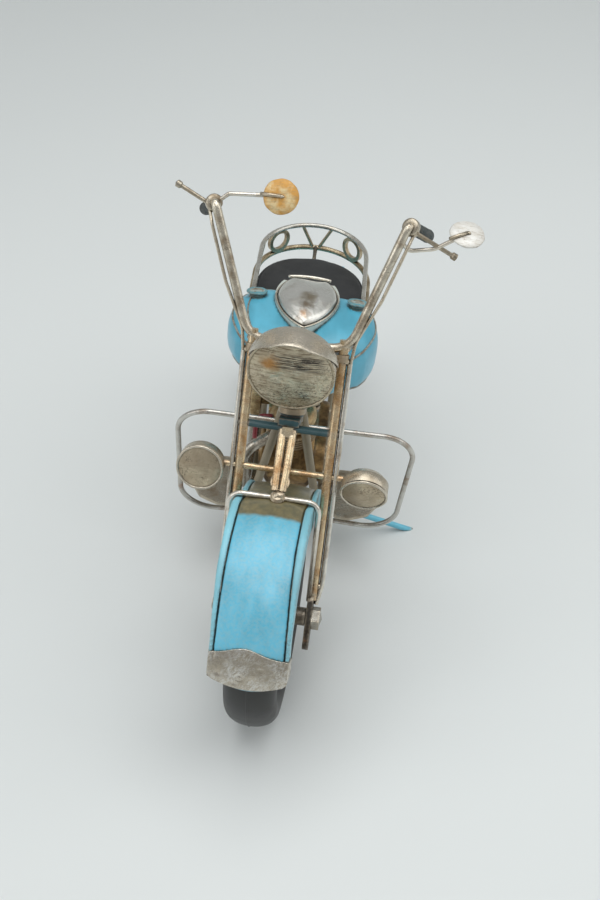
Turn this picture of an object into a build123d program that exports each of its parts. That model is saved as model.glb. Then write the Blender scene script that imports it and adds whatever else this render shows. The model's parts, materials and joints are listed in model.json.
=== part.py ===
from build123d import *
import math
import os

# A handmade tin motorcycle ornament. Millimetres, +Z up, the front of the machine faces -Y.
# It stands on its two wheels and its side stand, so the whole machine leans towards +X,
# and the front assembly is turned a little out of line.

# --- driving dimensions -------------------------------------------------------------
TYRE_R = 40.0  # outer radius of both tyres
TYRE_W = 18.0
WHEELBASE = 144.0
RAKE = 27.0  # steering axis, degrees back from upright
HEAD_Y = 37.1  # steering axis behind the front axle, at the lower yoke
HEAD_Z = 100.0
LEG_OFFSET = 5.8  # fork legs stand this far ahead of the steering axis
LEAN = 5.2  # lean onto the side stand, degrees
STEER = -4.4  # resting turn of the front assembly, degrees
MIDDLE = (-15.54, -73.21, 0.1720)  # front tyre's ground contact, from the middle of the footprint

BOLT_R = 2.0  # M4 axle bolts
BOLT_CLEARANCE = 0.06
NUT_AF = 7.0
HUB_END = 13.4  # half width of the hub over its bosses
RIM_R = 27.3  # bead seat
LEG_X = 15.2
LEG_R = 1.6
ROD_X = 17.8
ROD_R = 0.9
PLATE_X = 13.7  # inner face of a fork plate
PLATE_T = 2.0
NUT_FACE = PLATE_X + PLATE_T
NUT_T = 2.8

FENDER_R = 44.6  # crown of the front fender strip, from the axle
REAR_FENDER_R = 42.4  # the rear one sits closer, under the seat
FENDER_HALF = 13.1  # over the side plates
FENDER_T = 0.8
FLANGE_T = 1.4
BAR_R = 1.5  # handlebar rod
LAMP_R = 14.3
LAMP_Z = 124.2
LAMP_Y = 27.7
FOG_R = 8.0
TUBE_R = 1.6  # frame tubes
RAIL_X = 14.0  # lower frame rails
RAIL_Z = 24.5
CRASH_R = 1.0
TOP_HOOP_X = 21.0
LOW_HOOP_X = 22.8
SEAT_Z = 92.0
SEAT_T = 7.5
BOARD_Z = 32.0
STAND_PIVOT = (18.6, 76.6, 20.6)
STAND_FOOT = (51.9, 83.8, 4.7)
STAND_R = 1.2
STAND_PIN_R = 1.0
STAND_AXIS = (0.391, 0.161, 0.893)

os.makedirs("parts", exist_ok=True)

# --- frames of reference ------------------------------------------------------------
lean = math.radians(LEAN)
rake = math.radians(RAKE)
UP_FORK = (0, math.sin(rake), math.cos(rake))
bike = Plane(
    origin=MIDDLE,
    x_dir=(math.cos(lean), 0, -math.sin(lean)),
    z_dir=(math.sin(lean), 0, math.cos(lean)),
)
head_spot = Plane(origin=(0, HEAD_Y, HEAD_Z), x_dir=(1, 0, 0), z_dir=UP_FORK).location
turn = Location((0, 0, 0), (0, 0, STEER))
fork = Plane(bike.location * head_spot * turn * head_spot.inverse())
head = Plane(bike.location * head_spot)  # fixed to the frame, z along the steering axis
yoke = Plane(bike.location * head_spot * turn)  # the same, turning with the fork
floor = Plane.XY


def spot(frame, point):
    """A point of a frame, in the model's own coordinates."""
    return frame.from_local_coords(Vector(*point))


def aim(frame, direction):
    """A direction of a frame, in the model's own coordinates."""
    return spot(frame, direction) - frame.origin


def place(frame, point, facing=(0, 0, 1), across=(1, 0, 0)):
    """A work plane at a point of a frame, with its normal along facing."""
    return Plane(origin=spot(frame, point), x_dir=aim(frame, across), z_dir=aim(frame, facing))


def along(start, end, distance):
    """The point at a distance from start towards end."""
    step = (Vector(*end) - Vector(*start)).normalized() * distance
    return (start[0] + step.X, start[1] + step.Y, start[2] + step.Z)


def leg_point(x, rise, ahead=0.0):
    """A point beside a fork leg, rise above the front axle along the leg."""
    y = rise * math.sin(rake) - ahead * math.cos(rake)
    z = TYRE_R + rise * math.cos(rake) + ahead * math.sin(rake)
    return (x, y, z)


def arc_point(x, radius, angle, axle_y=0.0):
    """A point round an axle; angle counts up from straight ahead, over the top."""
    a = math.radians(angle)
    return (x, axle_y - radius * math.cos(a), TYRE_R + radius * math.sin(a))


def finish(piece, name):
    """Label a finished piece and write it."""
    piece.part.label = name
    export_step(piece.part, f"parts/{name}.step")


# --- shapes that many pieces share; each adds to the piece being built ---------------
def bar(frame, start, end, radius, mode=Mode.ADD):
    """Straight round bar."""
    a = spot(frame, start)
    b = spot(frame, end)
    with BuildSketch(Plane(origin=a, z_dir=b - a)) as section:
        Circle(radius)
    extrude(section.sketch, amount=(b - a).length, mode=mode)


def wire(frame, points, radius, bends):
    """Round rod bent through a list of points."""
    with BuildLine(frame) as route:
        FilletPolyline(*points, radius=bends)
    with BuildSketch(Plane(origin=route.line @ 0, z_dir=route.line % 0)) as section:
        Circle(radius)
    sweep(section.sketch, path=route.line)


def ball(frame, point, radius):
    """Solid ball."""
    with Locations(spot(frame, point)):
        Sphere(radius)


def turned(frame, point, axis, outline):
    """Body of revolution; the outline's points are (distance along the axis, radius)."""
    direction = aim(frame, axis)
    helper = Vector(0, 0, 1) if abs(direction.Z) < 0.8 else Vector(0, 1, 0)
    plane = Plane(origin=spot(frame, point), x_dir=direction, z_dir=direction.cross(helper))
    with BuildSketch(plane) as section:
        with BuildLine():
            Polyline(*outline, close=True)
        make_face()
    revolve(section.sketch, axis=Axis(plane.origin, direction))


def hexagon(frame, point, axis, flats, height):
    """Hexagonal nut or bolt head."""
    helper = (0, 0, 1) if abs(axis[2]) < 0.8 else (0, 1, 0)
    with BuildSketch(place(frame, point, axis, helper)) as section:
        RegularPolygon(flats / 2, 6, major_radius=False)
    extrude(section.sketch, amount=height)


# --- wheels -------------------------------------------------------------------------
HUB_BORE = BOLT_R + BOLT_CLEARANCE
SPOKES_A_SIDE = 10
SPOKE_R = 0.5
SPOKE_SWEEP = 24.0  # degrees a spoke leans round between the hub and the rim


def wheel(frame, axle_y, end):
    """Tyre, rim, spokes and hub of one wheel."""
    axle = (0, axle_y, TYRE_R)
    section = place(frame, axle, (0, -1, 0))
    spin = Axis(section.origin, section.x_dir)
    half = TYRE_W / 2

    with BuildPart() as tyre:
        with BuildSketch(section):
            with BuildLine():
                Polyline((-half, 32), (-7.6, 29.6), (-5.6, 28.8), (-5.6, RIM_R))
                Line((-5.6, RIM_R), (5.6, RIM_R))
                Polyline((5.6, RIM_R), (5.6, 28.8), (7.6, 29.6), (half, 32))
                ThreePointArc((half, 32), (half * 0.74, 37.6), (0, TYRE_R))
                ThreePointArc((0, TYRE_R), (-half * 0.74, 37.6), (-half, 32))
            make_face()
        revolve(axis=spin)
    finish(tyre, f"{end}_tyre")

    with BuildPart() as rim:
        with BuildSketch(section):
            with BuildLine():
                Polyline(
                    (-5.6, RIM_R), (-5.6, 28.5), (-6.6, 28.5), (-6.6, 26.2), (-3.2, 24.8),
                    (3.2, 24.8), (6.6, 26.2), (6.6, 28.5), (5.6, 28.5), (5.6, RIM_R),
                    close=True,
                )
            make_face()
        revolve(axis=spin)
    finish(rim, f"{end}_rim")

    with BuildPart() as spokes:
        for side in (-1, 1):
            for n in range(SPOKES_A_SIDE):
                angle = (n + 0.25 * side) * 360 / SPOKES_A_SIDE
                inner = arc_point(7.9 * side, 5.6, angle, axle_y)
                outer = arc_point(1.6 * side, 25.6, angle + side * SPOKE_SWEEP, axle_y)
                bar(frame, inner, outer, SPOKE_R)
    finish(spokes, f"{end}_spokes")

    with BuildPart() as hub:
        outline = [
            (-HUB_END, HUB_BORE), (-HUB_END, 3.2), (-8.8, 3.2), (-8.8, 7.0), (-7.2, 7.0), (-6.4, 4.4),
            (6.4, 4.4), (7.2, 7.0), (8.8, 7.0), (8.8, 3.2), (HUB_END, 3.2), (HUB_END, HUB_BORE),
        ]
        turned(frame, axle, (1, 0, 0), outline)
    finish(hub, f"{end}_hub")

    thread_end = (-NUT_FACE - NUT_T - 1.0, axle_y, TYRE_R)
    with BuildPart() as bolt:
        bar(frame, thread_end, (NUT_FACE + 0.5, axle_y, TYRE_R), BOLT_R)
        hexagon(frame, (NUT_FACE, axle_y, TYRE_R), (1, 0, 0), NUT_AF, NUT_T)
        dome = [(-0.5, 0), (-0.5, 2.8), (0, 2.8), (0.8, 0)]
        turned(frame, (NUT_FACE + NUT_T, axle_y, TYRE_R), (1, 0, 0), dome)
    finish(bolt, f"{end}_axle_bolt")

    with BuildPart() as nut:
        hexagon(frame, (-NUT_FACE, axle_y, TYRE_R), (-1, 0, 0), NUT_AF, NUT_T)
        bar(frame, thread_end, (0, axle_y, TYRE_R), BOLT_R, Mode.SUBTRACT)
    finish(nut, f"{end}_axle_nut")


wheel(fork, 0.0, "front")
wheel(bike, WHEELBASE, "rear")

# --- springer fork ------------------------------------------------------------------
LEG_TOP = 98.5  # along the leg, above the axle
PLATE_UP = 9.0
PLATE_DOWN = 12.0
PLATE_W = 7.0

with BuildPart() as fork_tubes:
    for side in (-1, 1):
        bar(fork, leg_point(side * LEG_X, PLATE_UP - 2), leg_point(side * LEG_X, LEG_TOP), LEG_R)
finish(fork_tubes, "fork_tubes")

with BuildPart() as fork_plates:
    for side in (-1, 1):
        inner = PLATE_X if side > 0 else -PLATE_X - PLATE_T
        middle = leg_point(inner, (PLATE_UP - PLATE_DOWN) / 2)
        with BuildSketch(place(fork, middle, (1, 0, 0), UP_FORK)):
            SlotOverall(PLATE_UP + PLATE_DOWN, PLATE_W)
        extrude(amount=PLATE_T)
        axle_face = place(fork, (inner, 0, TYRE_R), (1, 0, 0), UP_FORK)
        with BuildSketch(axle_face):
            Circle(BOLT_R + 0.1)
        extrude(amount=PLATE_T, mode=Mode.SUBTRACT)
finish(fork_plates, "fork_plates")

ROD_TOP = 91.0
with BuildPart() as fork_rods:
    for side in (-1, 1):
        wire(
            fork,
            [leg_point(side * 16.4, 5.4), leg_point(side * ROD_X, 13.0), leg_point(side * ROD_X, ROD_TOP)],
            ROD_R,
            8.0,
        )
finish(fork_rods, "fork_rods")

with BuildPart() as lower_yoke:
    with BuildSketch(place(yoke, (0, 0, -3.0))):
        Circle(5.2)
        with Locations((-LEG_X, -LEG_OFFSET), (LEG_X, -LEG_OFFSET)):
            Circle(2.3)
        make_hull()
    extrude(amount=3.0)
finish(lower_yoke, "lower_yoke")

with BuildPart() as upper_yoke:
    with BuildSketch(place(yoke, (0, 0, 21.0))):
        Circle(4.6)
        with Locations((-LEG_X, -LEG_OFFSET), (LEG_X, -LEG_OFFSET)):
            Circle(2.2)
        make_hull()
    extrude(amount=2.4)
    bar(fork, (0, LAMP_Y + 10.9, LAMP_Z - 0.6), (0, 42.4, LAMP_Z - 0.6), 1.8)
finish(upper_yoke, "upper_yoke")

STEM_R = 2.5
with BuildPart() as steering_stem:
    bar(yoke, (0, 0, -4.0), (0, 0, 24.4), STEM_R)
    hexagon(yoke, (0, 0, 23.4), (0, 0, 1), 6.4, 2.2)
finish(steering_stem, "steering_stem")

HANGER_FOOT = (0, 12.6, 85.4)
with BuildPart() as fender_hanger:
    for side in (-1, 1):
        bar(fork, (side * 1.1, 30.4, 98.6), (side * 1.0, HANGER_FOOT[1], HANGER_FOOT[2]), 0.9)
    with BuildSketch(place(fork, (0, 27.4, 99.2), (0, -1, 0))):
        RectangleRounded(6.0, 5.2, 0.8)
    extrude(amount=1.6)
    with BuildSketch(place(fork, (0, 16.4, 86.6), (0, -0.55, 0.83))):
        Circle(3.4)
        Circle(2.4, mode=Mode.SUBTRACT)
    extrude(amount=1.0)
finish(fender_hanger, "fender_hanger")

with BuildPart() as cross_rod:
    bar(fork, (-22.6, 23.6, 85.6), (22.6, 23.6, 85.6), 1.1)
finish(cross_rod, "cross_rod")

# --- front fender -------------------------------------------------------------------
FENDER_FRONT = 15.6  # degrees round the axle from straight ahead
FENDER_BACK = 150.0
STRIP_HALF = FENDER_HALF - FLANGE_T
FLANGE_PROUD = 0.7
CROWN = 1.1  # rise of the strip's middle over its edges


def fender_strip(frame, axle_y, first, last, radius=FENDER_R):
    """Crowned strip bent round an axle, between two angles."""
    section = place(frame, arc_point(0, 0, 0, axle_y), (0, 0, 1), (1, 0, 0))
    start = section.rotated((-first, 0, 0))
    with BuildSketch(start) as section_face:
        with BuildLine():
            ThreePointArc(
                (-STRIP_HALF, -radius + CROWN), (0, -radius), (STRIP_HALF, -radius + CROWN)
            )
            Line((STRIP_HALF, -radius + CROWN), (STRIP_HALF, -radius + CROWN + FENDER_T))
            ThreePointArc(
                (STRIP_HALF, -radius + CROWN + FENDER_T),
                (0, -radius + FENDER_T),
                (-STRIP_HALF, -radius + CROWN + FENDER_T),
            )
            Line((-STRIP_HALF, -radius + CROWN + FENDER_T), (-STRIP_HALF, -radius + CROWN))
        make_face()
    revolve(section_face.sketch, axis=Axis(start.origin, -start.x_dir), revolution_arc=last - first)


def fender_side(frame, axle_y, side, depths, radius=FENDER_R):
    """Side plate; depths are (angle, inner radius) at the front, middle and back."""
    outer = radius - CROWN + FLANGE_PROUD
    inner_x = STRIP_HALF if side > 0 else -FENDER_HALF
    face = place(frame, (inner_x, axle_y, TYRE_R), (1, 0, 0), (0, 1, 0))

    def at(distance, angle):
        a = math.radians(angle)
        return (-distance * math.cos(a), distance * math.sin(a))

    (first, front_r), (middle, middle_r), (last, back_r) = depths
    with BuildSketch(face) as plate:
        with BuildLine():
            ThreePointArc(at(outer, first), at(outer, (first + last) / 2), at(outer, last))
            Line(at(outer, last), at(back_r, last))
            ThreePointArc(at(back_r, last), at(middle_r, middle), at(front_r, first))
            Line(at(front_r, first), at(outer, first))
        make_face()
    extrude(plate.sketch, amount=FLANGE_T, dir=face.z_dir)


with BuildPart() as front_fender_top:
    fender_strip(fork, 0.0, FENDER_FRONT, FENDER_BACK)
finish(front_fender_top, "front_fender_top")

FRONT_DEPTHS = ((17.0, 38.0), (80.0, 35.5), (151.0, 37.0))
with BuildPart() as front_fender_sides:
    for side in (-1, 1):
        fender_side(fork, 0.0, side, FRONT_DEPTHS)
finish(front_fender_sides, "front_fender_sides")

TIP_T = 0.7
TIP_HALF = FENDER_HALF + TIP_T
TIP_FRONT = 15.0
TIP_BACK = 40.0
TIP_IN = 38.2  # inner edge of its wrapped sides, from the axle
with BuildPart() as front_fender_tip:
    tip_crown = FENDER_R + 0.15
    tip_edge = FENDER_R - CROWN + FLANGE_PROUD + 0.05
    start = place(fork, (0, 0, TYRE_R)).rotated((-TIP_FRONT, 0, 0))
    with BuildSketch(start):
        with BuildLine():
            outside = -tip_edge - TIP_T
            ThreePointArc((-TIP_HALF, outside), (0, -tip_crown - TIP_T), (TIP_HALF, outside))
            Polyline((TIP_HALF, outside), (TIP_HALF, -TIP_IN), (FENDER_HALF, -TIP_IN))
            Line((FENDER_HALF, -TIP_IN), (FENDER_HALF, -tip_edge))
            ThreePointArc((FENDER_HALF, -tip_edge), (0, -tip_crown), (-FENDER_HALF, -tip_edge))
            Line((-FENDER_HALF, -tip_edge), (-FENDER_HALF, -TIP_IN))
            Polyline((-FENDER_HALF, -TIP_IN), (-TIP_HALF, -TIP_IN), (-TIP_HALF, outside))
        make_face()
    revolve(axis=Axis(start.origin, -start.x_dir), revolution_arc=TIP_BACK - TIP_FRONT)
    # the back edge rises to a soft peak in the middle
    with BuildSketch(place(fork, (0, -30, 0), (0, -1, 0))):
        with BuildLine():
            ThreePointArc((-16, 61.4), (-8, 62.4), (-3.5, 64.3))
            ThreePointArc((-3.5, 64.3), (0, 65.1), (3.5, 64.3))
            ThreePointArc((3.5, 64.3), (8, 62.4), (16, 61.4))
            Polyline((16, 61.4), (16, 84), (-16, 84), (-16, 61.4))
        make_face()
    extrude(amount=20, mode=Mode.SUBTRACT)
finish(front_fender_tip, "front_fender_tip")

BRACE_X = 14.0
BRACE_Z = 84.5
with BuildPart() as front_fender_rail:
    wire(
        fork,
        [
            (-BRACE_X, 2.0, 46.5), (-BRACE_X, 12.0, BRACE_Z),
            (BRACE_X, 12.0, BRACE_Z), (BRACE_X, 2.0, 46.5),
        ],
        0.9,
        3.2,
    )
finish(front_fender_rail, "front_fender_rail")

with BuildPart() as fender_screw:
    outline = [(0, 0), (0, 2.6), (1.6, 2.6), (2.6, 1.9), (2.9, 0)]
    turned(fork, (0, 11.6, 83.4), (0, -0.2, 0.98), outline)
finish(fender_screw, "fender_screw")

# --- lamps --------------------------------------------------------------------------
WALL = 0.8
with BuildPart() as headlight_shell:
    outline = [
        (0.8, LAMP_R), (6.0, LAMP_R), (8.4, 12.8), (9.9, 10.4), (10.8, 7.0), (10.9, 0),
        (10.1, 0), (10.0, 6.6), (9.1, 9.6), (7.8, 11.8), (5.7, LAMP_R - WALL), (0.8, LAMP_R - WALL),
    ]
    turned(fork, (0, LAMP_Y, LAMP_Z), (0, 1, 0), outline)
finish(headlight_shell, "headlight_shell")

with BuildPart() as headlight_lens:
    outline = [(-0.3, 0), (0, LAMP_R - 0.6), (0.2, LAMP_R), (0.8, LAMP_R), (0.8, 0)]
    turned(fork, (0, LAMP_Y, LAMP_Z), (0, 1, 0), outline)
finish(headlight_lens, "headlight_lens")

VISOR_T = 0.6
VISOR_REACH = 4.2
with BuildPart() as headlight_visor:
    ring = [
        (-VISOR_REACH, LAMP_R - 0.1), (-VISOR_REACH, LAMP_R + VISOR_T - 0.3), (2.0, LAMP_R + VISOR_T),
        (5.6, LAMP_R + VISOR_T), (5.6, LAMP_R), (0, LAMP_R),
    ]
    turned(fork, (0, LAMP_Y, LAMP_Z), (0, 1, 0), ring)
    cut = place(fork, (0, LAMP_Y - VISOR_REACH, LAMP_Z + 12.9), (0, -0.78, -0.62))
    with BuildSketch(cut):
        Rectangle(60, 90)
    extrude(amount=60, mode=Mode.SUBTRACT)
finish(headlight_visor, "headlight_visor")


def back_of(tilt):
    """Direction out of the back of a lamp that looks up by an angle."""
    a = math.radians(tilt)
    return (0, math.cos(a), -math.sin(a))


FOG_LAMPS = (((-28.2, 19.5, 85.4), 18.0), ((28.0, 19.5, 83.4), -13.0))  # lens centre, tilt
with BuildPart() as fog_lamps:
    for centre, tilt in FOG_LAMPS:
        outline = [
            (0.6, FOG_R), (4.6, FOG_R), (6.6, 6.4), (7.8, 3.6), (8.2, 0),
            (7.5, 0), (7.0, 3.2), (6.0, 5.8), (4.4, FOG_R - 0.7), (0.6, FOG_R - 0.7),
        ]
        turned(fork, centre, back_of(tilt), outline)
finish(fog_lamps, "fog_lamps")

with BuildPart() as fog_lenses:
    for centre, tilt in FOG_LAMPS:
        outline = [(-0.3, 0), (0, FOG_R - 0.5), (0.2, FOG_R), (0.6, FOG_R), (0.6, 0)]
        turned(fork, centre, back_of(tilt), outline)
finish(fog_lenses, "fog_lenses")

# --- handlebar and what it carries --------------------------------------------------
BAR_H = 25.0  # the bar's middle above the lower yoke's top, along the steering axis
bar_base = head_spot.position + Vector(*UP_FORK) * BAR_H
BAR_Y = bar_base.Y - LEG_OFFSET * math.cos(rake)
BAR_Z = bar_base.Z + LEG_OFFSET * math.sin(rake)
BAR_BASE_X = 16.6
BAR_TOP = (31.0, 57.5, 166.0)
GRIP_AIM = (0.30, 0.74, -0.60)
GRIP_R = 2.2
GRIP_LENGTH = 17.0


def mirrored(point, side):
    """The point on the other hand when side is -1."""
    return (point[0] * side, point[1], point[2])


grip_start = along(BAR_TOP, tuple(a + b for a, b in zip(BAR_TOP, GRIP_AIM)), 4.5)
bar_end = along(BAR_TOP, tuple(a + b for a, b in zip(BAR_TOP, GRIP_AIM)), 8.0)
grip_end = along(BAR_TOP, tuple(a + b for a, b in zip(BAR_TOP, GRIP_AIM)), 4.5 + GRIP_LENGTH)

with BuildPart() as handlebar:
    wire(
        fork,
        [
            mirrored(bar_end, -1), mirrored(BAR_TOP, -1), (-BAR_BASE_X, BAR_Y, BAR_Z),
            (BAR_BASE_X, BAR_Y, BAR_Z), BAR_TOP, bar_end,
        ],
        BAR_R,
        [2.6, 4.0, 4.0, 2.6],
    )
finish(handlebar, "handlebar")

with BuildPart() as grips:
    for side in (-1, 1):
        start = mirrored(grip_start, side)
        axis = mirrored(GRIP_AIM, side)
        outline = [
            (3.6, 0), (3.6, BAR_R), (0, BAR_R), (0, GRIP_R),
            (GRIP_LENGTH - 1.2, GRIP_R), (GRIP_LENGTH, 1.4), (GRIP_LENGTH, 0),
        ]
        turned(fork, start, axis, outline)
finish(grips, "grips")

LEVER_TIPS = {1: (46.6, 61.5, 154.2), -1: (-43.6, 61.0, 168.6)}
with BuildPart() as levers:
    for side in (-1, 1):
        root = mirrored((32.2, 59.6, 163.0), side)
        reach = Vector(*LEVER_TIPS[side]) - Vector(*root)
        length = reach.length
        outline = [
            (-2.2, 0), (-1.6, 1.5), (0, 2.2), (1.6, 1.5), (2.4, 0.7), (length - 1.2, 0.7),
            (length - 0.7, 1.2), (length + 0.7, 1.2), (length + 1.2, 0),
        ]
        turned(fork, root, tuple(reach.normalized()), outline)
finish(levers, "levers")

MIRROR_R = 5.7
MIRROR_CENTRES = {1: (49.6, 60.0, 163.8), -1: (-10.3, 60.0, 169.2)}
with BuildPart() as mirror_stems:
    wire(fork, [(-29.4, 58.6, 166.4), (-27.0, 59.6, 168.2), (-9.4, 60.9, 169.0)], 0.7, [2.0])
    wire(
        fork,
        [(29.6, 58.6, 158.6), (32.0, 60.2, 155.0), (40.0, 60.6, 156.6), (49.4, 60.9, 163.6)],
        0.7,
        [2.4, 6.0],
    )
finish(mirror_stems, "mirror_stems")

with BuildPart() as mirrors:
    for centre in MIRROR_CENTRES.values():
        outline = [
            (-0.5, 0), (-0.5, MIRROR_R - 0.3), (0, MIRROR_R),
            (0.5, MIRROR_R - 0.4), (0.9, 3.2), (1.0, 0),
        ]
        turned(fork, centre, (0, -0.86, 0.5), outline)
finish(mirrors, "mirrors")

CABLE_R = 0.55
with BuildPart() as bar_cables:
    for side in (-1, 1):
        wire(
            fork,
            [
                leg_point(side * ROD_X, ROD_TOP - 2.0), (side * 18.9, 44.0, 128.0),
                (side * 25.6, 48.8, 142.0), (side * 31.6, 55.4, 159.0), (side * 33.4, 59.4, 163.2),
            ],
            CABLE_R,
            [12.0, 14.0, 6.0],
        )
finish(bar_cables, "bar_cables")

# --- frame --------------------------------------------------------------------------
with BuildPart() as head_tube:
    outline = [
        (0.4, STEM_R + 0.06), (0.4, 4.6), (2.2, 4.6), (2.8, 3.9), (18.2, 3.9), (18.8, 4.6),
        (20.6, 4.6), (20.6, STEM_R + 0.06),
    ]
    turned(head, (0, 0, 0), (0, 0, 1), outline)
finish(head_tube, "head_tube")

BACKBONE_START = (0, 43.0, 104.0)
BACKBONE_END = (0, 112.0, 80.6)
BACKBONE_R = 2.2
REAR_DROP_X = 14.7
STAY_R = 1.3
with BuildPart() as frame_tubes:
    bar(bike, BACKBONE_START, BACKBONE_END, BACKBONE_R)
    for side in (-1, 1):
        wire(
            bike,
            [
                (side * 2.4, 44.4, 100.4), (side * RAIL_X, 64.0, RAIL_Z),
                (side * RAIL_X, 112.0, RAIL_Z), (side * REAR_DROP_X, WHEELBASE - 4.0, TYRE_R - 5.0),
            ],
            TUBE_R,
            [9.0, 14.0],
        )
        wire(
            bike,
            [
                (0, 108.0, 81.4), (side * REAR_DROP_X, 112.0, 78.0),
                (side * REAR_DROP_X, WHEELBASE - 4.0, TYRE_R + 5.0),
            ],
            STAY_R,
            6.0,
        )
        drop_out = (side * REAR_DROP_X - 1.0, WHEELBASE - 1.5, TYRE_R)
        with BuildSketch(place(bike, drop_out, (1, 0, 0), (0, 1, 0))):
            RectangleRounded(13.0, 15.0, 3.4)
            with Locations((1.5, 0)):
                Circle(BOLT_R + 0.1, mode=Mode.SUBTRACT)
        extrude(amount=PLATE_T)
        # peg that the rear fender's side is soldered to
        bar(bike, (side * 12.4, 118.7, 70.1), (side * REAR_DROP_X, 118.7, 70.1), STAY_R)
    for cross_y, mount_top in ((78.0, 31.0), (98.0, 31.4)):
        bar(bike, (-RAIL_X, cross_y, RAIL_Z), (RAIL_X, cross_y, RAIL_Z), TUBE_R)
        bar(bike, (0, cross_y, RAIL_Z), (0, cross_y, mount_top), 1.8)
    bar(bike, (0, 113.0, 80.0), (0, 113.0, SEAT_Z - SEAT_T), 1.8)
    # cross pin that the two halves of the tank hang on
    bar(bike, (-3.4, 80.0, 91.4), (3.4, 80.0, 91.4), 1.6)
    # lug and pin that the side stand turns on
    outline = [
        (-2.3, 0), (-2.3, 1.8), (-1.5, 1.8), (-1.5, STAND_PIN_R),
        (1.5, STAND_PIN_R), (1.5, 2.6), (3.6, 2.6), (3.6, 0),
    ]
    turned(bike, STAND_PIVOT, STAND_AXIS, outline)
    lug_top = along(STAND_PIVOT, tuple(a + b for a, b in zip(STAND_PIVOT, STAND_AXIS)), 3.0)
    bar(bike, lug_top, (RAIL_X, 77.0, RAIL_Z + 0.4), 1.2)
finish(frame_tubes, "frame_tubes")

# --- fuel tank ----------------------------------------------------------------------
TANK_GAP = 0.5
TANK_WALL = 1.0
TUNNEL = 3.6
TANK_SECTIONS = (  # y, width, height, corner, top
    (64.0, 13.0, 11.5, 4.2, 100.5),
    (73.0, 23.5, 20.5, 7.2, 106.0),
    (86.0, 27.6, 25.0, 8.6, 107.0),
    (99.0, 24.0, 21.5, 7.6, 105.5),
    (109.0, 14.0, 13.0, 4.6, 100.0),
)
TANK_UNEVEN = 2.5  # the left half hangs lower than the right by twice this
for side, name in ((1, "left"), (-1, "right")):
    with BuildPart() as tank:
        for y, width, height, corner, top in TANK_SECTIONS:
            height += side * TANK_UNEVEN
            centre = (side * (TANK_GAP + width / 2), y, top - height / 2)
            with BuildSketch(place(bike, centre, (0, -1, 0))):
                RectangleRounded(width, height, corner)
        loft()
        bar(bike, BACKBONE_START, BACKBONE_END, BACKBONE_R + 0.3, Mode.SUBTRACT)
        # sealed hollow, clear of the tunnel that the backbone runs through
        for y, width, height, corner, top in TANK_SECTIONS:
            height += side * TANK_UNEVEN
            hollow = TANK_GAP + width - TANK_WALL - TUNNEL
            inset = TANK_WALL if y < 80 else -TANK_WALL
            centre = (side * (TUNNEL + hollow / 2), y + inset, top - height / 2)
            with BuildSketch(place(bike, centre, (0, -1, 0))):
                RectangleRounded(hollow, height - 2 * TANK_WALL, min(corner - TANK_WALL, hollow * 0.45))
        loft(mode=Mode.SUBTRACT)
    finish(tank, f"tank_{name}")

CONSOLE_Z = 108.2


def shield(grow):
    """Outline of the console, tip to the front, grown by an amount."""
    with BuildLine() as outline:
        front = 75.5 - grow
        wide = 10.9 + grow
        rear = 102.5 + grow
        corner = 8.6 + grow
        ThreePointArc((0, front), (7.0 + grow * 0.8, 82.0), (wide, 93.0))
        ThreePointArc((wide, 93.0), (10.5 + grow, 98.5), (corner, rear))
        Line((corner, rear), (-corner, rear))
        ThreePointArc((-corner, rear), (-10.5 - grow, 98.5), (-wide, 93.0))
        ThreePointArc((-wide, 93.0), (-7.0 - grow * 0.8, 82.0), (0, front))
    return outline.edges()


with BuildPart() as tank_console:
    with BuildSketch(place(bike, (0, 0, CONSOLE_Z))):
        make_face(shield(0.0))
    extrude(amount=4.2, taper=24)
finish(tank_console, "tank_console")

with BuildPart() as console_rim:
    with BuildSketch(place(bike, (0, 0, CONSOLE_Z - 4.2))):
        make_face(shield(1.0))
    extrude(amount=4.2)
finish(console_rim, "console_rim")

CAP_R = 3.9
with BuildPart() as tank_caps:
    for side in (-1, 1):
        outline = [
            (0, 0), (0, CAP_R - 0.8), (4.0, CAP_R - 0.8), (4.4, CAP_R),
            (7.4, CAP_R), (8.2, CAP_R - 0.9), (8.4, 0),
        ]
        turned(bike, (side * 18.6, 94.0, 104.4), (0, 0, 1), outline)
finish(tank_caps, "tank_caps")

# --- seat and rear rail -------------------------------------------------------------
SEAT_HALF = 21.3
SEAT_FRONT = 110.5
SEAT_SHOULDER = 124.0
SEAT_CORNER = (9.4, 144.2)
SEAT_BACK = 145.6
with BuildPart() as seat:
    with BuildSketch(place(bike, (0, 0, SEAT_Z - SEAT_T))):
        with BuildLine():
            corner_x, corner_y = SEAT_CORNER
            Line((-12.0, SEAT_FRONT), (12.0, SEAT_FRONT))
            ThreePointArc((12.0, SEAT_FRONT), (18.9, 115.4), (SEAT_HALF, SEAT_SHOULDER))
            ThreePointArc((SEAT_HALF, SEAT_SHOULDER), (17.9, 137.2), SEAT_CORNER)
            ThreePointArc(SEAT_CORNER, (0, SEAT_BACK), (-corner_x, corner_y))
            ThreePointArc((-corner_x, corner_y), (-17.9, 137.2), (-SEAT_HALF, SEAT_SHOULDER))
            ThreePointArc((-SEAT_HALF, SEAT_SHOULDER), (-18.9, 115.4), (-12.0, SEAT_FRONT))
        make_face()
    extrude(amount=SEAT_T)
finish(seat, "seat")

HOOP_R = 1.1
TOP_HOOP_R = 0.9
TOP_HOOP = (136.0, 100.0)  # y of the arc's centre, z
LOW_HOOP = (136.2, 88.2)


def hoop(half, centre, front_y, radius):
    """Half-round hoop with straight sides, open to the front."""
    centre_y, z = centre
    corner = centre_y + half
    wire(
        bike,
        [(-half, front_y, z), (-half, corner, z), (half, corner, z), (half, front_y, z)],
        radius,
        half - 0.01,
    )


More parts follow.
